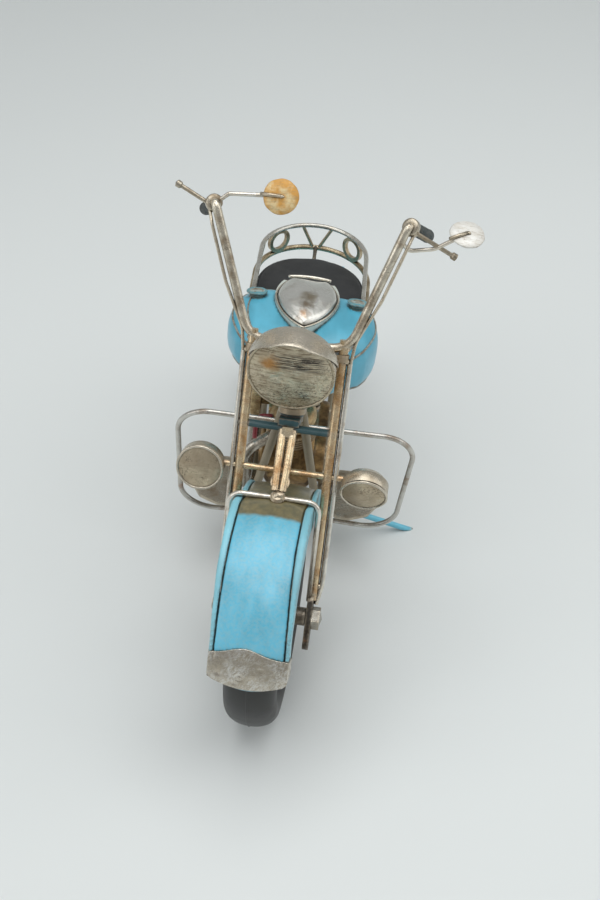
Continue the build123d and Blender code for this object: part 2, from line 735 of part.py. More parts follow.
with BuildPart() as rail_top_hoop:
    hoop(TOP_HOOP_X, TOP_HOOP, 106.0, TOP_HOOP_R)
    for side in (-1, 1):
        front_end = (side * TOP_HOOP_X, 106.0, TOP_HOOP[1])
        ball(bike, front_end, TOP_HOOP_R)
        bar(bike, front_end, (side * LOW_HOOP_X, 114.6, LOW_HOOP[1]), TOP_HOOP_R)
finish(rail_top_hoop, "rail_top_hoop")

with BuildPart() as rail_bottom_hoop:
    hoop(LOW_HOOP_X, LOW_HOOP, 114.0, HOOP_R)
    for side in (-1, 1):
        wire(
            bike,
            [
                (side * LOW_HOOP_X, 131.0, LOW_HOOP[1]), (side * LOW_HOOP_X, 130.0, 79.0),
                (side * REAR_DROP_X, 122.0, 66.3),
            ],
            HOOP_R,
            3.0,
        )
    under_seat = SEAT_Z - SEAT_T - 0.9
    bar(bike, (-LOW_HOOP_X, 130.6, under_seat), (LOW_HOOP_X, 130.6, under_seat), 0.9)
finish(rail_bottom_hoop, "rail_bottom_hoop")


def hoop_point(angle, upper):
    """A point on the arc of the upper or the lower hoop; the angle counts from straight back."""
    a = math.radians(angle)
    half, centre = (TOP_HOOP_X, TOP_HOOP) if upper else (LOW_HOOP_X, LOW_HOOP)
    return (half * math.sin(a), centre[0] + half * math.cos(a), centre[1])


RING_R = 4.4
with BuildPart() as rail_ornaments:
    for side in (-1, 1):
        bar(bike, hoop_point(side * 3.0, False), hoop_point(side * 17.0, True), 0.7)
        upper = hoop_point(side * 44.0, True)
        lower = hoop_point(side * 44.0, False)
        middle = [(a + b) / 2 for a, b in zip(upper, lower)]
        outward = math.radians(side * 44.0)
        ring_face = place(bike, middle, (math.sin(outward), math.cos(outward), 0), (0, 0, 1))
        with BuildSketch(ring_face):
            Circle(RING_R + 0.8)
            Circle(RING_R - 0.8, mode=Mode.SUBTRACT)
        extrude(amount=0.8, both=True)
        bar(bike, hoop_point(side * 76.0, True), hoop_point(side * 76.0, False), 0.7)
finish(rail_ornaments, "rail_ornaments")

# --- rear fender and tail lamp ------------------------------------------------------
with BuildPart() as rear_fender:
    fender_strip(bike, WHEELBASE, 28.0, 176.0, REAR_FENDER_R)
    for side in (-1, 1):
        depths = ((27.0, 37.0), (100.0, 35.0), (177.0, 37.0))
        fender_side(bike, WHEELBASE, side, depths, REAR_FENDER_R)
finish(rear_fender, "rear_fender")

with BuildPart() as tail_lamp:
    lamp_foot = arc_point(0, REAR_FENDER_R - 0.2, 158.0, WHEELBASE)
    a = math.radians(158.0)
    outline = [(0, 0), (0, 4.2), (2.4, 4.6), (5.6, 4.2), (7.2, 2.6), (7.6, 0)]
    turned(bike, lamp_foot, (0, -math.cos(a), math.sin(a)), outline)
finish(tail_lamp, "tail_lamp")

# --- engine -------------------------------------------------------------------------
CRANK = (0, 84.0, 43.0)
CRANK_R = 16.0
CASE_HALF = 9.2
with BuildPart() as crankcase:
    outline = [
        (-CASE_HALF, 0), (-CASE_HALF, CRANK_R - 2.0), (-7.4, CRANK_R),
        (7.4, CRANK_R), (CASE_HALF, CRANK_R - 2.0), (CASE_HALF, 0),
    ]
    turned(bike, CRANK, (1, 0, 0), outline)
    with BuildSketch(place(bike, (-8.6, 95.6, 40.0), (1, 0, 0), (0, 1, 0))):
        RectangleRounded(12.0, 20.0, 5.0)
    extrude(amount=17.2)
finish(crankcase, "crankcase")

V_HALF = 24.0  # half the angle between the cylinders
FIN_R = 9.6
BARREL_R = 7.6
FIN_COUNT = 5
BARREL_TOP = CRANK_R + 12.4


def cylinder_axis(end):
    """Direction of a cylinder, leaning forward for end -1 and back for end 1."""
    a = math.radians(V_HALF) * end
    return (0, math.sin(a), math.cos(a))


def up_cylinder(end, rise, x=0.0, aside=0.0):
    """A point up a cylinder's axis; aside moves it away from the other cylinder."""
    axis = cylinder_axis(end)
    return (
        CRANK[0] + x,
        CRANK[1] + axis[1] * rise + end * aside * axis[2],
        CRANK[2] + axis[2] * rise - aside * abs(axis[1]),
    )


with BuildPart() as cylinders:
    for end in (-1, 1):
        outline = [(CRANK_R - 1.2, 0), (CRANK_R - 1.2, BARREL_R)]
        for n in range(FIN_COUNT):
            rise = CRANK_R + 1.2 + n * 2.1
            outline += [(rise, BARREL_R), (rise, FIN_R), (rise + 1.0, FIN_R), (rise + 1.0, BARREL_R)]
        outline += [(BARREL_TOP, BARREL_R), (BARREL_TOP, 0)]
        turned(bike, CRANK, cylinder_axis(end), outline)
finish(cylinders, "cylinders")

with BuildPart() as rocker_covers:
    for end in (-1, 1):
        outline = [(0, 0), (0, 8.4), (1.8, 8.8), (3.6, 7.4), (4.6, 4.2), (4.8, 0)]
        outline = [(BARREL_TOP + rise, radius) for rise, radius in outline]
        turned(bike, CRANK, cylinder_axis(end), outline)
finish(rocker_covers, "rocker_covers")

with BuildPart() as pushrod_tubes:
    for end in (-1, 1):
        for spread in (-3.0, 3.0):
            foot = up_cylinder(end, 12.0, -8.9, spread)
            bar(bike, foot, up_cylinder(end, 30.2, -8.7, spread * 0.8), 1.0)
finish(pushrod_tubes, "pushrod_tubes")

with BuildPart() as engine_covers:
    outline = [(0, 0), (0, 10.0), (1.8, 10.0), (3.0, 8.4), (3.4, 0)]
    turned(bike, (-CASE_HALF, 83.0, 44.0), (-1, 0, 0), outline)
    with BuildSketch(place(bike, (CASE_HALF, 91.0, 41.5), (1, 0, 0), (0, 1, 0))):
        SlotOverall(40.0, 21.0)
    extrude(amount=4.4, taper=10)
finish(engine_covers, "engine_covers")

with BuildPart() as air_cleaner:
    outline = [(0, 0), (0, 2.6), (9.0, 2.6), (9.2, 7.4), (12.6, 7.4), (13.8, 6.2), (14.2, 0)]
    turned(bike, (-4.0, 84.0, 66.5), (-1, 0, 0), outline)
finish(air_cleaner, "air_cleaner")

with BuildPart() as spark_leads:
    wire(bike, [(-7.4, 70.0, 69.4), (-13.6, 64.6, 73.4), (-13.4, 61.6, 65.0)], 0.9, 3.0)
    wire(bike, [(-7.4, 98.0, 69.4), (-12.6, 104.6, 72.6), (-12.4, 106.0, 66.0)], 0.9, 3.0)
finish(spark_leads, "spark_leads")

PIPE_R = 2.1
PIPE_Z = 30.8
MUFFLER_X = -21.6
with BuildPart() as exhaust:
    wire(
        bike,
        [
            (-6.0, 70.6, 61.0), (-17.0, 61.0, 58.0), (-16.4, 69.0, PIPE_Z), (-16.4, 108.0, PIPE_Z),
            (MUFFLER_X, 118.0, PIPE_Z), (MUFFLER_X, 123.0, PIPE_Z),
        ],
        PIPE_R,
        [4.6, 12.0, 8.0, 4.0],
    )
    wire(
        bike,
        [(-6.0, 97.4, 61.0), (-18.6, 105.0, 58.0), (-18.0, 108.0, 34.0), (MUFFLER_X, 118.0, PIPE_Z)],
        PIPE_R,
        [4.6, 6.0],
    )
    outline = [(0, 0), (0, 2.6), (6.0, 4.4), (54.0, 4.4), (64.0, 3.2), (64.0, 2.4), (48.0, 2.4), (48.0, 0)]
    turned(bike, (MUFFLER_X, 120.0, PIPE_Z), (0, 1, 0), outline)
finish(exhaust, "exhaust")

# --- crash bars, footboards, side stand ---------------------------------------------
CRASH_SLOPE = 0.2  # the loops lean back towards the bottom


def crash_point(x, z):
    """A point of the loops' sloping plane."""
    return (x, 59.0 + (50.0 - z) * CRASH_SLOPE, z)


CRASH_ROOT_Y = 50.2  # their upper ends meet the down tubes
CRASH_LEFT = ((45.8, 80.8), (43.6, 22.4), (13.2, 24.6))
CRASH_RIGHT = ((-41.4, 83.6), (-40.4, 22.4), (-13.2, 24.6))
with BuildPart() as crash_bars:
    for root, loop in (((5.0, CRASH_ROOT_Y, 83.2), CRASH_LEFT), ((-5.0, CRASH_ROOT_Y, 84.4), CRASH_RIGHT)):
        wire(bike, [root] + [crash_point(x, z) for x, z in loop], CRASH_R, [13.0, 13.0])
finish(crash_bars, "crash_bars")

with BuildPart() as footboards:
    for side in (-1, 1):
        with BuildSketch(place(bike, (0, 0, BOARD_Z - 1.2))):
            with BuildLine():
                FilletPolyline(
                    (side * 19.5, 58.5), (side * 26.0, 58.5), (side * 33.0, 61.6), (side * 37.0, 68.0),
                    (side * 37.0, 77.0), (side * 33.4, 83.0), (side * 27.0, 85.5), (side * 19.5, 85.5),
                    radius=2.2,
                    close=True,
                )
            make_face()
        extrude(amount=1.2)
        for y in (70.5, 81.6):
            bar(bike, (side * RAIL_X, y, RAIL_Z + 1.0), (side * 27.0, y, BOARD_Z - 1.6), 1.2)
finish(footboards, "footboards")

stand_reach = Vector(*STAND_FOOT) - Vector(*STAND_PIVOT)
stand_end = along(STAND_PIVOT, STAND_FOOT, stand_reach.length + 6.0)
with BuildPart() as side_stand:
    eye = STAND_PIN_R + BOLT_CLEARANCE
    turned(bike, STAND_PIVOT, STAND_AXIS, [(-1.2, eye), (-1.2, 2.6), (1.2, 2.6), (1.2, eye)])
    bar(bike, along(STAND_PIVOT, STAND_FOOT, 1.8), stand_end, STAND_R)
    split(bisect_by=floor, keep=Keep.TOP)
finish(side_stand, "side_stand")
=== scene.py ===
import json
import math

import bmesh
import bpy
from bpy.props import FloatProperty, FloatVectorProperty, IntProperty, PointerProperty
from mathutils import Matrix, Vector, noise


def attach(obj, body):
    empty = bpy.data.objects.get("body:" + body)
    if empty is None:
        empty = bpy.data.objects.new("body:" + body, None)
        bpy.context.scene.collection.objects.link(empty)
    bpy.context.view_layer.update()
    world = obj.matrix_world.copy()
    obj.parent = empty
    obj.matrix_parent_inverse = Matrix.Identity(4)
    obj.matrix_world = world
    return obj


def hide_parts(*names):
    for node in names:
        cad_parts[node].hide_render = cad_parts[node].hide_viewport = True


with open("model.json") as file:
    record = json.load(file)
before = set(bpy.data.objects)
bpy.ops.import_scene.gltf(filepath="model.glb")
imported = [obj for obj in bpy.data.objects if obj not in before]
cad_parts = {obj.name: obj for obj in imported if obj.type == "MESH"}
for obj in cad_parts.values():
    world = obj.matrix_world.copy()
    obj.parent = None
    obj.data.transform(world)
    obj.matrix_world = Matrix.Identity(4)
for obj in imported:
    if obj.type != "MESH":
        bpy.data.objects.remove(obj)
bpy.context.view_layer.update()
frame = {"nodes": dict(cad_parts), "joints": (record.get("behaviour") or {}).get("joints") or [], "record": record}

bl_info = {
    "name": "Tin Motorcycle",
    "version": (1, 0, 0),
    "blender": (4, 5, 0),
    "location": "View3D > Sidebar > Motorcycle",
    "description": "Finishes and hand-made detail for a tin motorcycle ornament",
    "category": "Object",
}

MM = 0.001
noise.seed_set(11)  # without a seed, noise_vector differs from run to run
JOINTS = {joint["name"]: joint for joint in frame["joints"]}

# --- frames of reference, all in millimetres ------------------------------------------
HEAD_Y = 37.1  # steering axis behind the front axle
HEAD_Z = 100.0
TYRE_R = 40.0
WHEELBASE = 144.0


def bike_frame():
    """The leaning machine: x to the side stand, y back, origin under the front axle."""
    across = Vector(JOINTS["rear_wheel_spin"]["axis"])
    back = Vector((0, 1, 0))
    up = across.cross(back)
    origin = Vector(JOINTS["steer"]["pos_m"]) - (HEAD_Y * back + HEAD_Z * up) * MM
    columns = (across * MM, back * MM, up * MM)
    return Matrix.Translation(origin) @ Matrix([list(row) for row in zip(*columns)]).to_4x4()


def fork_frame():
    """The same, turned with the front assembly about the steering axis."""
    axis = Vector(JOINTS["steer"]["axis"])
    straight = Vector(JOINTS["rear_wheel_spin"]["axis"])
    turned = Vector(JOINTS["front_wheel_spin"]["axis"])
    angle = math.atan2(axis.dot(straight.cross(turned)), straight.dot(turned))
    pivot = Matrix.Translation(Vector(JOINTS["steer"]["pos_m"]))
    return pivot @ Matrix.Rotation(angle, 4, axis) @ pivot.inverted() @ bike_frame()


BIKE = bike_frame()
FORK = fork_frame()
RAKE = math.radians(27.0)


def leg_point(x, rise, ahead=0.0):
    """A point beside a fork leg, rise above the front axle along the leg."""
    y = rise * math.sin(RAKE) - ahead * math.cos(RAKE)
    z = TYRE_R + rise * math.cos(RAKE) + ahead * math.sin(RAKE)
    return Vector((x, y, z))


def wheel_point(x, radius, degrees, axle_y=0.0):
    """A point round an axle; the angle counts up from straight ahead, over the top."""
    a = math.radians(degrees)
    return Vector((x, axle_y - radius * math.cos(a), TYRE_R + radius * math.sin(a)))


def settings():
    return bpy.context.scene.motorcycle


# --- mesh helpers ---------------------------------------------------------------------
def make_piece(name, where, shape, material, body, stands_for=(), sharp=None):
    """Builds one object from (points, faces) in a frame's millimetres, and rides it on a body."""
    points, faces = shape
    mesh = bpy.data.meshes.new(name)
    mesh.from_pydata([where @ Vector(p) for p in points], [], faces)
    work = bmesh.new()
    work.from_mesh(mesh)
    bmesh.ops.remove_doubles(work, verts=work.verts, dist=1e-6)
    bmesh.ops.recalc_face_normals(work, faces=work.faces)
    work.to_mesh(mesh)
    work.free()
    if sharp is None:
        mesh.shade_smooth()
    else:
        mesh.set_sharp_from_angle(angle=math.radians(sharp))
    piece = bpy.data.objects.new(name, mesh)
    bpy.context.scene.collection.objects.link(piece)
    piece.data.materials.append(material)
    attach(piece, body)
    if stands_for:
        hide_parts(*stands_for)
    return piece


def grid(rows, wrap=False):
    """Points and faces of a net; rows is a list of equally long lists of points."""
    width = len(rows[0])
    points = [p for row in rows for p in row]
    faces = []
    for r in range(len(rows) - 1):
        for c in range(width if wrap else width - 1):
            a, b = r * width + c, r * width + (c + 1) % width
            faces.append((a, b, b + width, a + width))
    return points, faces


def capped(shape, width, rows):
    """Closes the first and last row of a wrapped net."""
    points, faces = shape
    last = (rows - 1) * width
    return points, faces + [tuple(range(width))[::-1], tuple(range(last, last + width))]


def side_axes(axis):
    axis = Vector(axis).normalized()
    helper = Vector((0, 0, 1)) if abs(axis.z) < 0.8 else Vector((0, 1, 0))
    u = axis.cross(helper).normalized()
    return u, axis.cross(u)


def lathe(centre, axis, outline, segments=72, wobble=0.0, seed=0.0):
    """Body of revolution; outline is (distance along the axis, radius), radius 0 closes it."""
    axis = Vector(axis).normalized()
    u, v = side_axes(axis)
    rows = []
    for along, radius in outline:
        row = []
        for n in range(segments):
            a = 2 * math.pi * n / segments
            out = u * math.cos(a) + v * math.sin(a)
            p = Vector(centre) + axis * along + out * radius
            if wobble:
                p += noise.noise_vector(p * 0.35 + Vector((seed, 0, 0))) * wobble
            row.append(p)
        rows.append(row)
    shape = grid(rows, wrap=True)
    if outline[0] != outline[-1]:
        shape = capped(shape, segments, len(rows))
    return shape


def sweep(route, radii, sides=16, flat=1.0):
    """Round bar along a route; radii is one number or one for each point."""
    if isinstance(radii, (int, float)):
        radii = [radii] * len(route)
    route = [Vector(p) for p in route]
    rows = []
    u = side_axes(route[1] - route[0])[0]
    for n, point in enumerate(route):
        ahead = route[min(n + 1, len(route) - 1)] - route[max(n - 1, 0)]
        ahead.normalize()
        u = (u - ahead * u.dot(ahead)).normalized()
        v = ahead.cross(u)
        row = []
        for k in range(sides):
            a = 2 * math.pi * k / sides
            row.append(point + (u * math.cos(a) * flat + v * math.sin(a)) * radii[n])
        rows.append(row)
    return capped(grid(rows, wrap=True), sides, len(rows))


def rounded(corners, bend, steps=6):
    """A route of straight runs with its inner corners rounded."""
    corners = [Vector(c) for c in corners]
    route = [corners[0]]
    for before, corner, after in zip(corners, corners[1:], corners[2:]):
        reach = min(bend, (corner - before).length * 0.45, (after - corner).length * 0.45)
        a = corner + (before - corner).normalized() * reach
        b = corner + (after - corner).normalized() * reach
        for n in range(steps + 1):
            t = n / steps
            route.append(a * (1 - t) ** 2 + corner * (2 * t * (1 - t)) + b * t * t)
    route.append(corners[-1])
    return route


def lump(centre, size, seed, flatten=(1, 1, 1)):
    """An uneven drop of solder."""
    work = bmesh.new()
    bmesh.ops.create_icosphere(work, subdivisions=3, radius=1.0)
    points = []
    for vert in work.verts:
        rough = noise.noise(vert.co * 1.7 + Vector((seed * 3.1, 0, 0))) * 0.34
        rough += noise.noise(vert.co * 4.3 + Vector((0, seed * 1.7, 0))) * 0.1
        stretch = Vector([c * f for c, f in zip(vert.co, flatten)])
        points.append(Vector(centre) + stretch * size * (1 + rough))
    faces = [tuple(v.index for v in face.verts) for face in work.faces]
    work.free()
    return points, faces


def joined(*shapes):
    """Several shapes as one."""
    points, faces = [], []
    for some, others in shapes:
        start = len(points)
        points += some
        faces += [tuple(i + start for i in face) for face in others]
    return points, faces


def arc_through(a, b, c, count):
    """Points on the plane arc from a over b to c."""
    ax, ay, bx, by, cx, cy = *a, *b, *c
    d = 2 * (ax * (by - cy) + bx * (cy - ay) + cx * (ay - by))
    squares = [x * x + y * y for x, y in (a, b, c)]
    ox = (squares[0] * (by - cy) + squares[1] * (cy - ay) + squares[2] * (ay - by)) / d
    oy = (squares[0] * (cx - bx) + squares[1] * (ax - cx) + squares[2] * (bx - ax)) / d
    radius = math.hypot(ax - ox, ay - oy)
    first, middle, last = (math.atan2(y - oy, x - ox) for x, y in (a, b, c))
    turn = (last - first) % (2 * math.pi)
    if (middle - first) % (2 * math.pi) > turn:
        turn -= 2 * math.pi
    angles = [first + turn * n / (count - 1) for n in range(count)]
    return [(ox + radius * math.cos(t), oy + radius * math.sin(t)) for t in angles]


def soften(node, width, segments=2):
    """Rounds the hard edges of a carried-over part."""
    part = frame["nodes"][node]
    weld = part.modifiers.new("weld", "WELD")
    weld.merge_threshold = 1e-6
    bevel = part.modifiers.new("bevel", "BEVEL")
    bevel.width = width * MM
    bevel.segments = segments
    bevel.limit_method = "ANGLE"
    bevel.angle_limit = math.radians(40)
    bevel.harden_normals = True


# --- shader node helpers --------------------------------------------------------------
class Net:
    """A node tree that is built call by call."""

    def __init__(self, tree):
        self.tree = tree
        tree.nodes.clear()

    def add(self, kind, inputs=None, output=0, **values):
        node = self.tree.nodes.new(kind)
        for name, value in values.items():
            setattr(node, name, value)
        for key, value in (inputs or {}).items():
            socket = node.inputs[key]
            if isinstance(value, bpy.types.NodeSocket):
                self.tree.links.new(value, socket)
            else:
                socket.default_value = value
        return node.outputs[output] if output is not None else node

    def math(self, operation, *terms, clamp=False):
        inputs = dict(enumerate(terms))
        return self.add("ShaderNodeMath", inputs, operation=operation, use_clamp=clamp)

    def mix(self, factor, a, b, blend="MIX"):
        inputs = {"Factor": factor, 6: a, 7: b}
        return self.add("ShaderNodeMix", inputs, 2, data_type="RGBA", blend_type=blend)

    def noise(self, place, scale, detail=4.0, rough=0.55, warp=0.0):
        inputs = {
            "Vector": place, "Scale": scale, "Detail": detail, "Roughness": rough, "Distortion": warp,
        }
        return self.add("ShaderNodeTexNoise", inputs, "Fac")

    def band(self, value, low, high, to_low=0.0, to_high=1.0):
        """Smooth step from low to high."""
        inputs = {
            "Value": value, "From Min": low, "From Max": high, "To Min": to_low, "To Max": to_high,
        }
        return self.add("ShaderNodeMapRange", inputs, interpolation_type="SMOOTHSTEP")

    def stretch(self, place, scale, turn=(0, 0, 0)):
        inputs = {"Vector": place, "Scale": scale, "Rotation": turn}
        return self.add("ShaderNodeMapping", inputs)

    def group(self, name, inputs, output):
        node = self.add("ShaderNodeGroup", None, None, node_tree=bpy.data.node_groups[name])
        for key, value in inputs.items():
            if isinstance(value, bpy.types.NodeSocket):
                self.tree.links.new(value, node.inputs[key])
            else:
                node.inputs[key].default_value = value
        return node.outputs[output]

    def millimetres(self):
        """Position on the resting machine, in millimetres."""
        place = self.add("ShaderNodeTexCoord", output="Object")
        return self.stretch(place, (1000, 1000, 1000))


def new_group(name, inputs, outputs):
    """An empty node group with named sockets; returns its net, its inputs and its output node."""
    tree = bpy.data.node_groups.new(name, "ShaderNodeTree")
    net = Net(tree)
    for label, kind, value in inputs:
        socket = tree.interface.new_socket(label, in_out="INPUT", socket_type=kind)
        if value is not None:
            socket.default_value = value
    for label, kind in outputs:
        tree.interface.new_socket(label, in_out="OUTPUT", socket_type=kind)
    given = tree.nodes.new("NodeGroupInput").outputs
    result = tree.nodes.new("NodeGroupOutput").inputs
    return net, given, result


FLOAT = "NodeSocketFloat"
VECTOR = "NodeSocketVector"


def build_patches():
    """Uneven patches, as of wash or rust."""
    inputs = [
        ("Place", VECTOR, None), ("Scale", FLOAT, 0.2), ("Cover", FLOAT, 0.4),
        ("Softness", FLOAT, 0.12), ("Seed", FLOAT, 0.0),
    ]
    net, given, result = new_group("patches", inputs, [("Mask", FLOAT)])
    moved = net.add("ShaderNodeVectorMath", {0: given["Place"], 1: (0, 0, 0)}, operation="ADD")
    shift = net.add("ShaderNodeCombineXYZ", {"X": given["Seed"], "Z": given["Seed"]})
    net.tree.links.new(shift, moved.node.inputs[1])
    grain = net.noise(moved, given["Scale"], detail=7.0, rough=0.66, warp=0.3)
    middle = net.math("SUBTRACT", 0.78, net.math("MULTIPLY", given["Cover"], 0.56))
    low = net.math("SUBTRACT", middle, given["Softness"])
    high = net.math("ADD", middle, given["Softness"])
    net.tree.links.new(net.band(grain, low, high), result["Mask"])


def build_corners():
    """Corners where wash collects and shade falls, for painted shade, and edges where the wash is rubbed off."""
    inputs = [("Place", VECTOR, None), ("Reach", FLOAT, 0.0012)]
    outputs = [("Corner", FLOAT), ("Edge", FLOAT)]
    net, given, result = new_group("corners", inputs, outputs)
    breakup = net.noise(given["Place"], 1.1, detail=5.0)
    # ambient occlusion from outside gives the Corner mask, where shade falls, used as painted shade; from inside it
    # gives the Edge mask
    for label, inside in (("Corner", False), ("Edge", True)):
        shade = net.add(
            "ShaderNodeAmbientOcclusion", {"Distance": given["Reach"]}, "AO", samples=6, inside=inside
        )
        closed = net.math("SUBTRACT", 1.0, shade)
        uneven = net.math("MULTIPLY", closed, net.band(breakup, 0.25, 0.7, 0.5, 1.4), clamp=True)
        net.tree.links.new(net.band(uneven, 0.12, 0.62), result[label])


def build_scratches():
    """Fine scratches in two directions."""
    inputs = [("Place", VECTOR, None), ("Scale", FLOAT, 1.0), ("Turn", VECTOR, None)]
    net, given, result = new_group("scratches", inputs, [("Height", FLOAT), ("Mask", FLOAT)])
    total = None
    for turn, stretch in (((0.2, 0.5, 0.3), (0.16, 3.4, 3.4)), ((0.9, 0.1, 1.3), (0.1, 2.2, 2.2))):
        base = net.add("ShaderNodeMapping", {"Vector": given["Place"], "Rotation": given["Turn"]})
        lines = net.stretch(base, stretch, turn)
        grain = net.noise(lines, given["Scale"], detail=3.0, rough=0.7)
        thin = net.band(net.math("ABSOLUTE", net.math("SUBTRACT", grain, 0.5)), 0.0, 0.05, 1.0, 0.0)
        total = thin if total is None else net.math("MAXIMUM", total, thin)
    net.tree.links.new(total, result["Mask"])
    net.tree.links.new(net.math("MULTIPLY", total, -1.0), result["Height"])


def build_pits():
    """Small round pits in old sheet metal."""
    inputs = [("Place", VECTOR, None), ("Scale", FLOAT, 1.0), ("Cover", FLOAT, 0.5)]
    net, given, result = new_group("pits", inputs, [("Mask", FLOAT)])
    cells = net.add(
        "ShaderNodeTexVoronoi", {"Vector": given["Place"], "Scale": given["Scale"]}, "Distance"
    )
    where = net.noise(given["Place"], 0.16, detail=3.0)
    size = net.math("MULTIPLY", net.band(where, 0.4, 0.65), given["Cover"])
    pit = net.band(net.math("DIVIDE", cells, net.math("ADD", size, 0.001)), 0.35, 0.95, 1.0, 0.0)
    net.tree.links.new(pit, result["Mask"])


def build_brush_marks():
    """Long soft marks left by a paint brush."""
    inputs = [("Place", VECTOR, None), ("Turn", VECTOR, None)]
    net, given, result = new_group("brush_marks", inputs, [("Height", FLOAT), ("Tone", FLOAT)])
    base = net.add("ShaderNodeMapping", {"Vector": given["Place"], "Rotation": given["Turn"]})
    fine = net.noise(net.stretch(base, (1.6, 0.05, 0.2)), 1.0, detail=3.0)
    broad = net.noise(net.stretch(base, (0.1, 0.04, 0.06)), 1.0, detail=3.0)
    net.tree.links.new(net.math("ADD", fine, net.math("MULTIPLY", broad, 0.7)), result["Height"])
    net.tree.links.new(net.band(broad, 0.3, 0.7), result["Tone"])


def linear(colour):
    """Screen values 0-255 as the linear colour that a shader takes."""
    values = []
    for c in colour:
        c = c / 255
        values.append(c / 12.92 if c <= 0.04045 else ((c + 0.055) / 1.055) ** 2.4)
    return (*values, 1.0)


# --- finishes -------------------------------------------------------------------------
FINISHES = {}
CREAM = linear((214, 200, 176))
RUST = linear((150, 92, 44))
# near-black for soot specks and pits, and for painted shade in the corners of steel
SOOT_AND_SHADE = linear((40, 34, 28))


def start_finish(slot, metallic, roughness, bumps):
    """A material with its Principled shader; bumps are (height, strength, distance in mm)."""
    material = bpy.data.materials.new(slot)
    material.use_nodes = True
    net = Net(material.node_tree)
    shader = net.add("ShaderNodeBsdfPrincipled", output=None)
    shader.inputs["Metallic"].default_value = metallic
    shader.inputs["Roughness"].default_value = roughness
    net.add("ShaderNodeOutputMaterial", {"Surface": shader.outputs["BSDF"]}, None)
    FINISHES[slot] = material
    return net, shader, bumps


def bump(net, shader, bumps):
    """Chains bump nodes into the shader's normal."""
    normal = None
    for height, strength, distance in bumps:
        inputs = {"Height": height, "Strength": strength, "Distance": distance * MM}
        if normal is not None:
            inputs["Normal"] = normal
        normal = net.add("ShaderNodeBump", inputs, "Normal")
    net.tree.links.new(normal, shader.inputs["Normal"])


def steel(slot, base, wash, cover, roughness=0.36, rust=0.1, pits=0.25, seed=0.0, metallic=0.82):
    """Bare steel under a brown wash: bright where rubbed, dark in its corners with wash and painted shade."""
    net, shader, _ = start_finish(slot, metallic, roughness, ())
    place = net.millimetres()
    patches = net.group(
        "patches", {"Place": place, "Scale": 0.16, "Cover": cover, "Softness": 0.16, "Seed": seed}, "Mask"
    )
    specks = net.group(
        "patches",
        {"Place": place, "Scale": 0.9, "Cover": cover * 0.6, "Softness": 0.1, "Seed": seed + 7},
        "Mask",
    )
    rusty = net.group(
        "patches",
        {"Place": place, "Scale": 0.1, "Cover": rust, "Softness": 0.08, "Seed": seed + 21},
        "Mask",
    )
    corner = net.group("corners", {"Place": place}, "Corner")
    edge = net.group("corners", {"Place": place}, "Edge")
    scratch = net.group("scratches", {"Place": place, "Scale": 0.9}, "Mask")
    pit = net.group("pits", {"Place": place, "Scale": 1.7, "Cover": pits}, "Mask")
    colour = net.mix(net.math("MULTIPLY", patches, 0.8), base, wash)
    colour = net.mix(net.math("MULTIPLY", specks, 0.4), colour, SOOT_AND_SHADE)
    colour = net.mix(net.math("MULTIPLY", rusty, 0.85), colour, RUST)
    colour = net.mix(net.math("MULTIPLY", edge, 0.5), colour, CREAM)
    colour = net.mix(net.math("MULTIPLY", pit, 0.6), colour, SOOT_AND_SHADE)
    # painted shade: near-black in the corners, where wash also collects
    colour = net.mix(net.math("MULTIPLY", corner, 0.85), colour, SOOT_AND_SHADE)
    net.tree.links.new(colour, shader.inputs["Base Color"])
    rough = net.math("ADD", roughness - 0.06, net.math("MULTIPLY", patches, 0.16))
    rough = net.math("ADD", rough, net.math("MULTIPLY", rusty, 0.2))
    rough = net.math("SUBTRACT", rough, net.math("MULTIPLY", scratch, 0.08), clamp=True)
    net.tree.links.new(rough, shader.inputs["Roughness"])
    shine = net.math("SUBTRACT", metallic, net.math("MULTIPLY", rusty, 0.5), clamp=True)
    net.tree.links.new(shine, shader.inputs["Metallic"])
    wavy = net.noise(place, 0.22, detail=3.0)
    bumps = [
        (wavy, 0.35, 0.35), (specks, 0.3, 0.04), (scratch, 0.25, -0.03), (pit, 0.6, -0.09),
    ]
    bump(net, shader, bumps)
    return net, shader, colour


